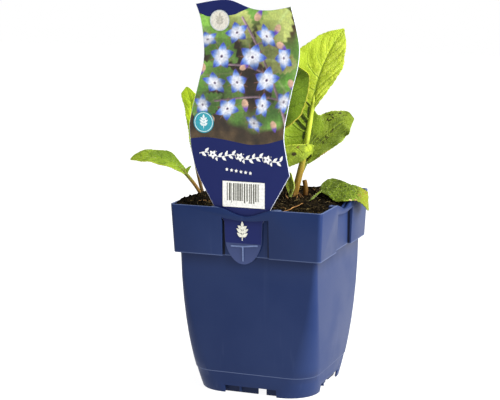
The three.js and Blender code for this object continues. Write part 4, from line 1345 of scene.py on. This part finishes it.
def soil_spot(draw, margin):
    """A random place on the soil, clear of the walls and of the four sockets."""
    while True:
        x = draw.uniform(-1, 1) * (SOIL_HALF - margin)
        y = draw.uniform(-1, 1) * (SOIL_HALF - margin)
        out, along = max(abs(x), abs(y)), min(abs(x), abs(y))
        if out < SOCKET_INSIDE - margin or along > SOCKET_HALF + margin:
            return x, y


def soil_bed():
    """The compost itself, with its top cut fine and heaved."""
    bed = merged_copy("soil", "soil_surface")
    for polygon in bed.data.polygons:
        polygon.select = polygon.normal.z > 0.5 and polygon.center.z > SOIL_LOWEST * MM
    reshape(bed, bpy.ops.mesh.subdivide, whole=False, number_cuts=SOIL_CUTS)
    for vertex in bed.data.vertices:
        if vertex.select:
            vertex.co.z = soil_height(vertex.co.x / MM, vertex.co.y / MM) * MM
    return bed


def crumbs(draw, count):
    """Loose crumbs of compost: one small rough ball copied with its own turn and size."""
    ball = add(bpy.ops.mesh.primitive_ico_sphere_add, subdivisions=1, radius=1)
    corners = [vertex.co.copy() for vertex in ball.data.vertices]
    sides = [tuple(polygon.vertices) for polygon in ball.data.polygons]
    bpy.data.objects.remove(ball)
    points, faces = [], []
    for _ in range(count):
        x, y = soil_spot(draw, 1.5)
        size = CRUMB_LEAST + CRUMB_SPREAD * draw.random() ** 3
        turn = Matrix.Rotation(draw.uniform(0, 6.28), 3, random_vector(draw).normalized())
        stretch = Matrix.Diagonal((draw.uniform(0.7, 1.5), draw.uniform(0.6, 1.1), draw.uniform(0.5, 0.9)))
        centre = Vector((x, y, soil_height(x, y) + 0.15 * size))
        start = len(points)
        for corner in corners:
            bent = corner * (1 + 0.3 * noise.noise(corner * 3 + centre))
            points.append(centre + turn @ (stretch @ bent) * size)
        faces.extend(tuple(start + k for k in side) for side in sides)
    return mesh_object("crumbs", points, faces)


def thread(points, faces, path, radius, sides=4):
    """A thin tapered fibre along a path."""
    start = len(points)
    last = len(path) - 1
    for i, at in enumerate(path):
        taper = radius * (1 - 0.6 * abs(2 * i / last - 1) ** 2)
        points.extend(ring(at, path[min(last, i + 1)] - path[max(0, i - 1)], taper, sides))
    for i in range(last):
        for k in range(sides):
            a = start + i * sides + k
            b = start + i * sides + (k + 1) % sides
            faces.append((a, b, b + sides, a + sides))
    faces.append(tuple(start + k for k in reversed(range(sides))))
    faces.append(tuple(start + last * sides + k for k in range(sides)))


def fibres(draw, count):
    """Loose fibres lying on the soil."""
    points, faces = [], []
    for _ in range(count):
        length = FIBRE_LENGTH * draw.uniform(0.3, 1)
        reach = SOIL_HALF - 3 - length / 2
        x, y = draw.uniform(-reach, reach), draw.uniform(-reach, reach)
        angle = draw.uniform(0, math.pi)
        bend = draw.uniform(-0.16, 0.16)
        lift = draw.uniform(0.1, 0.9)
        tilt = draw.uniform(-0.15, 0.15)
        path = []
        for i in range(8):
            t = i / 7 - 0.5
            turn = angle + bend * t * 6
            px = x + math.cos(turn) * length * t
            py = y + math.sin(turn) * length * t
            path.append(Vector((px, py, soil_height(px, py) + lift + tilt * length * t)))
        thread(points, faces, path, FIBRE_RADIUS * draw.uniform(0.6, 1.3))
    return mesh_object("fibres", points, faces)


def roots():
    """The rootlets and straws that show on the soil."""
    points, faces = [], []
    for knots, radius in ROOTS:
        path = [bezier(knots, i / 14) for i in range(15)]
        for at in path:
            at.z += (soil_height(at.x, at.y) + SOIL_LEVEL + ROOT_LIFT) / 2
        thread(points, faces, path, radius, 6)
    return mesh_object("roots", points, faces)


# Label
def smooth_line(knots, steps=8):
    """Points of a smooth line through knots, without its last one."""
    ends = [knots[0], *knots, knots[-1]]
    line = []
    for i in range(1, len(ends) - 2):
        a, b, c, d = (Vector(ends[k]) for k in (i - 1, i, i + 1, i + 2))
        for k in range(steps):
            t = k / steps
            line.append(0.5 * (2 * b + (c - a) * t + (2 * a - 5 * b + 4 * c - d) * t * t
                               + (3 * b - a - 3 * c + d) * t ** 3))
    return line


def tongue_line():
    """The right half of the tongue's round end, from its lowest point up."""
    low = [(TONGUE_CENTRE, TONGUE_END, 0), (4, TONGUE_END, 0),
           (TONGUE_CENTRE + TONGUE_HALF - 1.8, 101, 0), (TONGUE_CENTRE + TONGUE_HALF - 0.4, 112, 0)]
    return [bezier(low, k / 12).xy for k in range(13)]


def label_sides():
    """The right and the left edge of the label, both from the bottom up."""
    right = tongue_line()
    left = [Vector((2 * TONGUE_CENTRE - p.x, p.y)) for p in right]
    left_shoulder, right_shoulder = SHOULDERS
    right += [Vector((TONGUE_CENTRE + TONGUE_HALF, TONGUE_HIGH)), Vector((right_shoulder, SHOULDER_HIGH))]
    left += [Vector((TONGUE_CENTRE - TONGUE_HALF, TONGUE_HIGH)), Vector((left_shoulder, SHOULDER_HIGH))]
    right += [*smooth_line(RIGHT_EDGE), Vector(RIGHT_EDGE[-1])]
    left += reversed([*smooth_line(LEFT_EDGE), Vector(LEFT_EDGE[-1])])
    return right, left


def reading(line, given, wanted):
    """One coordinate of a line as a function of the other, straight between its points."""
    rows = sorted((p[given], p[wanted]) for p in line)

    def read(value):
        if value <= rows[0][0]:
            return rows[0][1]
        for (a, first), (b, second) in zip(rows, rows[1:]):
            if value <= b:
                return first + (second - first) * (value - a) / max(1e-9, b - a)
        return rows[-1][1]
    return read


def board():
    """The label's board, its front edge slightly rounded."""
    right, left = label_sides()
    outline = right[:-1] + smooth_line(TOP_EDGE) + list(reversed(left))[:-1]
    obj = add(bpy.ops.mesh.primitive_circle_add, vertices=len(outline), fill_type="NGON")
    for vertex, (x, z) in zip(obj.data.vertices, outline):
        vertex.co = Vector((x, LABEL_FACE, z)) * MM
    reshape(obj, bpy.ops.mesh.quads_convert_to_tris, ngon_method="BEAUTY")
    face_front(obj)
    apply_modifier(obj, "SOLIDIFY", thickness=LABEL_THICKNESS * MM, offset=-1)
    apply_modifier(obj, "BEVEL", width=LABEL_BEVEL * MM, segments=2, limit_method="ANGLE",
                   angle_limit=math.radians(60))
    return obj


def face_front(obj):
    """Turn the faces of a flat sheet to the front."""
    for polygon in obj.data.polygons:
        if polygon.normal.y > 0:
            polygon.flip()


def panel(low, high, columns, rows, right_end=None):
    """A printed sheet between two level lines and the label's edges, as a fine grid."""
    right, left = (reading(side, 1, 0) for side in label_sides())
    obj = add(bpy.ops.mesh.primitive_grid_add, x_subdivisions=columns, y_subdivisions=rows, size=1)
    for vertex in obj.data.vertices:
        u, v = vertex.co.x + 0.5, vertex.co.y + 0.5
        x = z = 0
        for _ in range(4):
            z = low(x) + (high(x) - low(x)) * v
            start = left(z) + PRINT_INSET
            end = right(z) - PRINT_INSET if right_end is None else right_end
            x = start + (end - start) * u
        vertex.co = Vector((x, LABEL_FACE - PRINT_THICKNESS, z)) * MM
    return obj


def tint_points(obj, colours):
    """Give each point of a printed sheet its colour."""
    tint = obj.data.color_attributes.new("Tint", "FLOAT_COLOR", "POINT")
    for item, colour in zip(tint.data, colours):
        item.color = colour


# Printed picture: a painting of soft shapes, each with its place and reach
def soft(distance, blur):
    """How far a point is covered, from its distance inside a shape's edge."""
    return smooth(distance / blur + 0.5)


def along_across(point, angle):
    """A place in the plane, measured along and across a direction."""
    cos, sin = math.cos(angle), math.sin(angle)
    return point.x * cos + point.y * sin, point.y * cos - point.x * sin


def petal_tone(share):
    """The colour of a petal from its foot to its tip."""
    for (a, first), (b, second) in zip(PETALS, PETALS[1:]):
        if share <= b:
            return tone(*first).lerp(tone(*second), (share - a) / (b - a))
    return tone(*PETALS[-1][1])


def paint_flower(size, turn, squash, lean, blur):
    """A star-shaped flower with five petals, seen aslant."""
    def shape(point):
        u, v = along_across(point, lean)
        q = Vector((u / size, v / (size * squash)))
        radius = q.length
        if radius > 1.15:
            return petal_tone(0), 0
        around = (math.atan2(q.y, q.x) - turn) / PETAL_TURN
        order = round(around)
        along, across = along_across(q, turn + order * PETAL_TURN)
        half = 0.34 * math.sin(math.pi * min(1, max(0, along)) ** 0.8) ** 0.9
        petal = soft(half - abs(across), blur)
        length, side = along_across(q, turn + (math.floor(around) + 0.5) * PETAL_TURN)
        sepal = soft(0.09 * (1 - length) - abs(side), blur) if 0 < length < 1 else 0
        shade = 0.92 + 0.1 * math.cos(order * 2.3 + turn) + 0.3 * across
        colour = petal_tone(along) * (shade - 0.3 * math.exp(-((across / 0.035) ** 2)) * along)
        colour = tone(150, 104, 92).lerp(colour, petal)
        colour = colour.lerp(tone(246, 246, 252), soft(0.2 - radius, blur))
        colour = colour.lerp(tone(64, 38, 92), soft(0.1 - radius, blur))
        return colour, max(petal, sepal, soft(0.2 - radius, blur))
    return shape


def paint_shade(reach, depth):
    """A soft shadow that parts a flower from what lies behind it."""
    def shape(point):
        return tone(22, 24, 26), depth * soft(1 - point.length / reach, 1.2)
    return shape


def paint_leaf(length, width, angle, light, dark, blur):
    """A broad leaf with a pale midrib and side veins, from its foot at the middle of its place."""
    def shape(point):
        along, across = along_across(point, angle)
        share = along / length
        if not 0 < share < 1:
            return light, 0
        teeth = 0.04 * width * math.sin(share * 60)
        half = width / 2 * math.sin(math.pi * share ** 0.75) ** 0.8 + teeth
        vein = abs(math.sin(math.pi * (7 * share - 0.5 * abs(across) / width)))
        line = math.exp(-((across / (0.3 + blur * 0.3)) ** 2)) * 0.7 + 0.35 * (1 - vein) ** 3
        side = 0.5 + 0.5 * math.tanh(2.5 * across / width)
        colour = dark.lerp(light, 0.25 + 0.5 * side + 0.25 * vein)
        return colour.lerp(tone(206, 228, 150), min(1, line) * 0.7), soft(half - abs(across), blur)
    return shape


def paint_stem(knots, width, colour, blur):
    """A stem along a curve, lit from one side and set with pale down."""
    path = [bezier(knots, k / 14).xy for k in range(15)]
    start = path[0]

    def shape(point):
        at = point + start
        nearest, side = 1e9, 0
        for a, b in zip(path, path[1:]):
            leg = b - a
            t = min(1, max(0, (at - a).dot(leg) / leg.length_squared))
            gap = at - a - leg * t
            if gap.length < nearest:
                nearest = gap.length
                side = leg.x * gap.y - leg.y * gap.x
        edge = width / 2 - nearest + 0.25 * noise.noise(Vector((at.x, at.y, 0)) * 2.2)
        return colour * (0.85 + 0.35 * math.tanh(side)), soft(edge, blur)
    return start, max((p - start).length for p in path) + width, shape


def paint_bud(size, angle, blur):
    """A hanging bud: downy sepals with a violet tip."""
    def shape(point):
        along, across = along_across(point, angle)
        share = along / size
        if not 0 < share < 1:
            return petal_tone(0), 0
        half = 0.26 * size * math.sin(math.pi * share ** 0.7) ** 0.8
        colour = tone(230, 188, 158).lerp(tone(112, 84, 196), soft(share - 0.6, 0.3))
        return colour * (0.85 + 0.8 * across / size), soft(half - abs(across), blur)
    return shape


def garden_ground(point):
    """The blurred garden behind the flowers: dark soil and soft foliage."""
    at = Vector((point.x, point.y * 0.7, 1.7))
    broad = 0.5 + 0.75 * noise.noise(at * 0.055)
    fine = noise.noise(at * 0.2)
    dark = tone(26, 23, 19).lerp(tone(104, 84, 58), 0.5 + 0.5 * fine)
    leafy = tone(88, 156, 52).lerp(tone(176, 222, 112), 0.5 + 0.5 * noise.noise(at * 0.09))
    sunk = 0.3 * soft(0.5 - (point.y - PICTURE_LOW) / 40, 1.0)
    return dark.lerp(leafy, soft(broad - 0.5 - sunk, 0.22))


def garden_layers():
    """All shapes of the picture with their place and reach, from the back to the front."""
    for x, z, length, width, angle, green, blur in FOLIAGE:
        light, dark = (tone(*colour) for colour in GREENS[green])
        yield Vector((x, z)), length, paint_leaf(length, width, angle, light, dark, blur)
    for knots, width in STEMS:
        yield paint_stem(knots, width * 1.2, tone(216, 182, 196), 0.5)
    for x, z, size, turn, squash, lean, blur in FLOWERS:
        yield Vector((x - 1, z - 2)), size * 1.4, paint_shade(size * 1.4, 0.5)
        yield Vector((x, z)), size * 1.15, paint_flower(size, turn, squash, lean, blur)
    for x, z, size, angle, blur in BUDS:
        yield Vector((x, z)), size, paint_bud(size, angle, blur)


def garden_colour(layers, point):
    """The colour of the picture at a place on the label."""
    colour = garden_ground(point)
    for centre, reach, shape in layers:
        offset = point - centre
        if abs(offset.x) < reach and abs(offset.y) < reach:
            tint, cover_share = shape(offset)
            colour = colour.lerp(tint, cover_share)
    return [max(0, value) for value in colour] + [1]


# Printed ornaments
class Print:
    """Flat printed shapes of plain colour, each lying on the one before."""

    def __init__(self, layer):
        self.front = LABEL_FACE - PRINT_THICKNESS * layer
        self.points = []
        self.faces = []
        self.colours = []

    def add(self, points, faces, colour):
        """Faces between points of the label's plane, a step in front of the last shape."""
        start = len(self.points)
        self.front -= PRINT_STEP
        self.points.extend((p.x, self.front, p.y) for p in points)
        self.colours.extend([linear(*colour)] * len(points))
        self.faces.extend(tuple(start + k for k in face) for face in faces)

    def area(self, outline, colour):
        """A filled convex outline."""
        self.add(outline, [range(len(outline))], colour)

    def line(self, path, width, colour):
        """A line with a width."""
        last = len(path) - 1
        points = []
        for i, at in enumerate(path):
            ahead = path[min(last, i + 1)] - path[max(0, i - 1)]
            across = Vector((-ahead.y, ahead.x)).normalized() * width / 2
            points.extend([at - across, at + across])
        self.add(points, [(2 * i, 2 * i + 2, 2 * i + 3, 2 * i + 1) for i in range(last)], colour)

    def build(self, name):
        """The printed shapes as thin closed sheets that face the front."""
        obj = mesh_object(name, self.points, self.faces)
        tint_points(obj, self.colours)
        face_front(obj)
        apply_modifier(obj, "SOLIDIFY", thickness=PRINT_STEP * 0.6 * MM, offset=-1)
        return obj


def disc(centre, radius, count=40):
    """The outline of a disc in the label's plane."""
    x, z = centre
    return [Vector((x + radius * math.cos(a), z + radius * math.sin(a)))
            for a in (2 * math.pi * k / count for k in range(count))]


def rectangle(left, low, right, high):
    """The outline of a rectangle in the label's plane."""
    return [Vector((left, low)), Vector((right, low)), Vector((right, high)), Vector((left, high))]


def leaflet(foot, angle, length, width):
    """The outline of a small pointed leaf that starts at its foot."""
    ahead = Vector((math.cos(angle), math.sin(angle)))
    across = Vector((-ahead.y, ahead.x))
    outline = []
    for k in range(16):
        share = k / 8 if k <= 8 else (16 - k) / 8
        half = width / 2 * math.sin(math.pi * share ** 0.8) * (1 if k <= 8 else -1)
        outline.append(foot + ahead * (length * share) + across * half)
    return outline


def star(ink, centre, radius, turn, colour, eye):
    """A small five-petalled star."""
    for k in range(5):
        ink.area(leaflet(centre, turn + k * PETAL_TURN, radius, radius * 0.62), colour)
    ink.area(disc(centre, radius * 0.16, 10), eye)


def garland(ink):
    """A garland of leaves and stars in the band."""
    (left, high), (run, climb) = GARLAND_START, GARLAND_RUN
    vine = []
    for k in range(GARLAND_STEPS + 1):
        t = k / GARLAND_STEPS
        swing = GARLAND_SWING * math.sin(t * 2 * GARLAND_WAVES * math.pi)
        vine.append(Vector((left + run * t, high + climb * t + swing)))
    ink.line(vine, GARLAND_WIDTH, PRINT_WHITE)
    for k in range(2, GARLAND_STEPS, 3):
        side = 1 if k % 2 else -1
        ahead = vine[k + 1] - vine[k]
        angle = math.atan2(ahead.y, ahead.x) + side * 0.85
        ink.area(leaflet(vine[k], angle, *GARLAND_LEAF), PRINT_WHITE)
    for k in GARLAND_STARS:
        ink.area(disc(vine[k], GARLAND_DISC, 24), PRINT_NAVY)
        star(ink, vine[k], GARLAND_STAR, STAR_TURN + k, PRINT_WHITE, PRINT_NAVY)


def sprig(ink, foot, size, colour):
    """An upright sprig with pairs of leaves and one at its top."""
    foot = Vector(foot)
    top = foot + Vector((0, size))
    ink.line([foot, foot.lerp(top, 0.5), top], size * 0.05, colour)
    for share, reach in ((0.22, 0.42), (0.45, 0.46), (0.68, 0.36)):
        for lean in (0.95, -0.95):
            at = foot.lerp(top, share)
            ink.area(leaflet(at, math.pi / 2 + lean, size * reach, size * 0.2), colour)
    ink.area(leaflet(foot.lerp(top, 0.8), math.pi / 2, size * 0.36, size * 0.18), colour)


def sprig_disc(ink, centre, rings, drop, size, colour):
    """Discs on one another with a sprig on them."""
    for radius, tint in rings:
        ink.area(disc(centre, radius), tint)
    sprig(ink, (centre[0], centre[1] - drop), size, colour)


def bars(ink, draw):
    """A pale panel with upright bars of random widths."""
    ink.area(rectangle(*PANEL), PANEL_PAPER)
    x, end = BARS
    while x < end:
        width = draw.choice(BAR_WIDTHS)
        foot = LONG_BAR_FOOT if draw.random() < LONG_BARS else BAR_FOOT
        ink.area(rectangle(x, foot, x + width, BAR_TOP), BAR_GREY)
        x += width + draw.choice(BAR_GAPS)


def ornaments():
    """All plain printed shapes: garland, stars, panel, discs, the tongue's sprig and the painted highlights
    on its ribs.
    """
    ink = Print(1.5)
    garland(ink)
    for at in STAR_ROW:
        star(ink, Vector(at), ROW_STAR, STAR_TURN, PRINT_WHITE, PRINT_WHITE)
    bars(ink, random.Random(BAR_SEED))
    for settings in SPRIG_DISCS:
        sprig_disc(ink, *settings)
    sprig(ink, *TONGUE_SPRIG)
    # pale lines that paint the highlights on the tongue's ribs
    for path in TONGUE_RIB_HIGHLIGHTS:
        ink.line([Vector(at) for at in path], TONGUE_RIB_HIGHLIGHT_WIDTH, TONGUE_RIB_HIGHLIGHT_TINT)
    return ink.build("ornaments")


# Stage
def direction(turn, rise):
    """The direction at a turn from the front and a rise, both in degrees."""
    turn, rise = math.radians(turn), math.radians(rise)
    return Vector((math.sin(turn) * math.cos(rise), -math.cos(turn) * math.cos(rise), math.sin(rise)))


def set_floor(glow):
    """A wide pale floor, lit a little from below."""
    floor = add(bpy.ops.mesh.primitive_plane_add, size=FLOOR_SIZE)
    floor.name = "floor"
    material, tree, shader = new_material("floor_paper", 0.9, 0.1)
    grain = speckle(tree, here(tree), 3.0)
    paper = ramp(tree, grain, [(0.0, (0.24, 0.24, 0.24, 1)), (1.0, (0.26, 0.26, 0.26, 1))])
    feed(tree, shader, Base_Color=paper)
    shader.inputs["Emission Color"].default_value = (1, 1, 1, 1)
    shader.inputs["Emission Strength"].default_value = glow
    paint(floor, [material])


def set_world(fill):
    """White all round, with less light on the object than the camera sees."""
    world = bpy.data.worlds.new("studio")
    world.use_nodes = True
    tree = world.node_tree
    seen = place(tree, "LightPath").outputs["Is Camera Ray"]
    strength = place(tree, "MapRange", {"Value": seen, "To Min": fill, "To Max": 1.0})
    background = tree.nodes["Background"]
    background.inputs["Color"].default_value = (1, 1, 1, 1)
    feed(tree, background, Strength=strength.outputs["Result"])
    bpy.context.scene.world = world


def set_lights(settings):
    """Square studio lights that look at the object."""
    for name, (turn, rise, away, width, colour) in LIGHTS.items():
        back = direction(turn, rise)
        light = add(bpy.ops.object.light_add, type="AREA", location=back * away + Vector((0, 0, LIGHTS_AIM)))
        light.name = name + "_light"
        light.rotation_euler = back.to_track_quat("Z", "Y").to_euler()
        light.data.size = width
        light.data.energy = getattr(settings, name)
        light.data.color = colour


def set_camera():
    """The camera at the photograph's place."""
    back = direction(VIEW_AZIMUTH, VIEW_ELEVATION)
    right = direction(VIEW_AZIMUTH + 90, 0)
    target = right * VIEW_RIGHT + back.cross(right) * VIEW_UP
    camera = add(bpy.ops.object.camera_add, location=target + back * VIEW_DISTANCE)
    camera.name = "camera"
    camera.rotation_euler = back.to_track_quat("Z", "Y").to_euler()
    camera.data.sensor_width = SENSOR_WIDTH
    camera.data.lens = SENSOR_WIDTH * FOCAL_PIXELS / FRAME_PIXELS
    camera.data.clip_start = 0.05
    camera.data.clip_end = 20
    bpy.context.scene.camera = camera


# Operators
class BORAGE_OT_pot(bpy.types.Operator):
    """Build the nursery pot with its collar, sockets, seam and slotted foot"""

    bl_idname = "borage.pot"
    bl_label = "Build Pot"

    def execute(self, context):
        pot = merged_copy("pot", "pot_moulding")
        reshape(pot, bpy.ops.mesh.dissolve_limited, angle_limit=math.radians(0.1))
        # The bevel faces take the pale edge material: a painted highlight along every sharp edge, with some
        # wear.
        apply_modifier(pot, "BEVEL", width=RIM_BEVEL * MM, segments=2, limit_method="ANGLE",
                       angle_limit=math.radians(BEVEL_ANGLE), use_clamp_overlap=True, material=1)
        pick(pot)
        bpy.ops.object.shade_smooth_by_angle(angle=math.radians(SMOOTH_ANGLE))
        wear = wear_group()
        finish(pot, "pot_moulding", "pot", [pot_material(wear), pot_material(wear, True)], ["pot"])
        return {"FINISHED"}


class BORAGE_OT_soil(bpy.types.Operator):
    """Build the compost with its crumbs, fibres and rootlets"""

    bl_idname = "borage.soil"
    bl_label = "Build Soil"

    def execute(self, context):
        settings = context.scene.borage_soil
        draw = random.Random(SOIL_SEED)
        earth = soil_material()
        peat = fibre_material("peat_fibre", *PEAT)
        straw = fibre_material("straw", *STRAW)
        finish(soil_bed(), "soil_surface", "soil", [earth], ["soil"])
        finish(crumbs(draw, settings.crumbs), "soil_crumbs", "soil", [earth])
        finish(fibres(draw, settings.fibres), "peat_fibres", "soil", [peat])
        finish(roots(), "rootlets", "soil", [straw])
        return {"FINISHED"}


class BORAGE_OT_label(bpy.types.Operator):
    """Build the plant label with its printed picture and ornaments"""

    bl_idname = "borage.label"
    bl_label = "Build Label"

    def execute(self, context):
        finish(board(), "plant_label", "label", [board_material()], ["label"])
        wave = reading(smooth_line(WAVE_LINE), 0, 1)
        crest_line = reading(smooth_line(CREST_LINE), 0, 1)
        top_line = reading([*smooth_line(TOP_EDGE), TOP_EDGE[-1]], 0, 1)

        def top(x):
            return top_line(x) - PRINT_INSET

        def crest(x):
            return min(top(x), crest_line(x)) if x < CAP_END else top(x)

        def print_end(x):
            return PRINT_END

        ink, printed = navy_material(), print_material()
        picture = panel(wave, crest, *PICTURE_GRID)
        layers = list(garden_layers())
        tint_points(picture, [garden_colour(layers, vertex.co.xz / MM) for vertex in picture.data.vertices])
        sheets = [(panel(print_end, wave, *BAND_GRID), "label_band", ink),
                  (panel(crest, top, *CAP_GRID, CAP_END), "label_cap", ink),
                  (picture, "label_picture", printed)]
        for sheet, name, material in sheets:
            apply_modifier(sheet, "SOLIDIFY", thickness=PRINT_THICKNESS * MM, offset=-1)
            finish(sheet, name, "label", [material])
        finish(ornaments(), "label_ornaments", "label", [printed])
        return {"FINISHED"}


class BORAGE_OT_leaves(bpy.types.Operator):
    """Build every leaf with its blade, veins, stalk and hairs, and the dried shoot"""

    bl_idname = "borage.leaves"
    bl_label = "Build Leaves"

    def execute(self, context):
        group = vein_group()
        hair = hair_material()
        for name, leaf in LEAVES.items():
            build_leaf(name, leaf, group, hair)
        bark = stalk_material("dry_shoot", STALKS["dry_shoot"])
        finish(stem(*stalk_line(SHOOT)), "shoot_stub_fine", "bud", [bark], ["shoot_stub"])
        return {"FINISHED"}


class BORAGE_OT_stage(bpy.types.Operator):
    """Set the pale floor, the soft studio lights and the camera"""

    bl_idname = "borage.stage"
    bl_label = "Set Stage"

    def execute(self, context):
        settings = context.scene.borage_stage
        set_floor(settings.glow)
        set_world(settings.fill)
        set_lights(settings)
        set_camera()
        context.scene.view_settings.view_transform = "Standard"
        context.scene.view_settings.exposure = settings.exposure
        return {"FINISHED"}


# Settings
def colour_property(name, description, value):
    """A colour that a user can change."""
    return bpy.props.FloatVectorProperty(
        name=name, description=description, subtype="COLOR", size=3, min=0, max=1, default=value[:3])


def number_property(name, description, value, low, high, unit="NONE"):
    """A number that a user can change."""
    return bpy.props.FloatProperty(
        name=name, description=description, default=value, min=low, max=high, unit=unit)


class BoragePotSettings(bpy.types.PropertyGroup):
    """What a user can change on the pot"""

    colour: colour_property("Colour", "Colour of the moulded plastic", linear(27, 44, 86))
    # The pale colour also paints the highlights on the pot's edges.
    pale_colour: colour_property("Worn colour", "Colour of worn edges and scratches", linear(120, 136, 176))
    roughness: number_property("Roughness", "How matte the plastic is", 0.42, 0.1, 0.9)


class BorageSoilSettings(bpy.types.PropertyGroup):
    """What a user can change on the compost"""

    dark_colour: colour_property("Dark colour", "Colour of the moist compost", linear(10, 9, 7))
    brown_colour: colour_property("Brown colour", "Colour of its drier crumbs", linear(30, 24, 15))
    crumbs: bpy.props.IntProperty(
        name="Crumbs", description="Number of loose crumbs", default=2600, min=0, max=6000)
    fibres: bpy.props.IntProperty(
        name="Fibres", description="Number of loose fibres", default=320, min=0, max=2000)


class BorageLabelSettings(bpy.types.PropertyGroup):
    """What a user can change on the label"""

    colour: colour_property("Colour", "Colour of the printed bands", linear(*PRINT_NAVY))


class BorageLeafSettings(bpy.types.PropertyGroup):
    """What a user can change on the leaves"""

    hair_density: number_property("Hair density", "Share of the full number of hairs", 1.0, 0, 2)
    hair_length: number_property(
        "Hair length", "Length of the hairs on the stalks", 0.0009, 0.0002, 0.003, unit="LENGTH")


class BorageStageSettings(bpy.types.PropertyGroup):
    """What a user can change in the studio"""

    fill: number_property("Fill", "Strength of the light from all round", 0.28, 0, 5)
    key: number_property("Key light", "Power of the light at the right", 70, 0, 500)
    front: number_property("Front light", "Power of the light at the front", 1.5, 0, 500)
    top: number_property("Top light", "Power of the light overhead", 6, 0, 500)
    glow: number_property("Floor glow", "How far the floor is lit from below", 0.93, 0, 5)
    exposure: number_property("Exposure", "Exposure of the picture in stops", 0.0, -5, 5)


class BORAGE_PT_panel(bpy.types.Panel):
    """The settings and the building steps in the sidebar"""

    bl_idname = "BORAGE_PT_panel"
    bl_label = "Potted Eastern Borage"
    bl_space_type = "VIEW_3D"
    bl_region_type = "UI"
    bl_category = "Borage"

    def draw(self, context):
        for group, (_, operator) in STEPS.items():
            box = self.layout.box()
            settings = getattr(context.scene, group)
            for name in settings.__annotations__:
                box.prop(settings, name)
            box.operator(operator.bl_idname)


# The steps in their order: the name of the settings, their group and the operator
STEPS = {
    "borage_pot": (BoragePotSettings, BORAGE_OT_pot),
    "borage_soil": (BorageSoilSettings, BORAGE_OT_soil),
    "borage_label": (BorageLabelSettings, BORAGE_OT_label),
    "borage_leaves": (BorageLeafSettings, BORAGE_OT_leaves),
    "borage_stage": (BorageStageSettings, BORAGE_OT_stage),
}
CLASSES = [item for pair in STEPS.values() for item in pair] + [BORAGE_PT_panel]


def register():
    """Make the settings, the operators and the panel known."""
    for item in CLASSES:
        bpy.utils.register_class(item)
    for name, (settings, _) in STEPS.items():
        setattr(bpy.types.Scene, name, bpy.props.PointerProperty(type=settings))


def unregister():
    """Take them away again."""
    for name in STEPS:
        delattr(bpy.types.Scene, name)
    for item in reversed(CLASSES):
        bpy.utils.unregister_class(item)


def main():
    """Build the whole part."""
    register()
    bpy.ops.borage.pot()
    bpy.ops.borage.soil()
    bpy.ops.borage.label()
    bpy.ops.borage.leaves()
    bpy.ops.borage.stage()


if __name__ == "__main__":
    main()
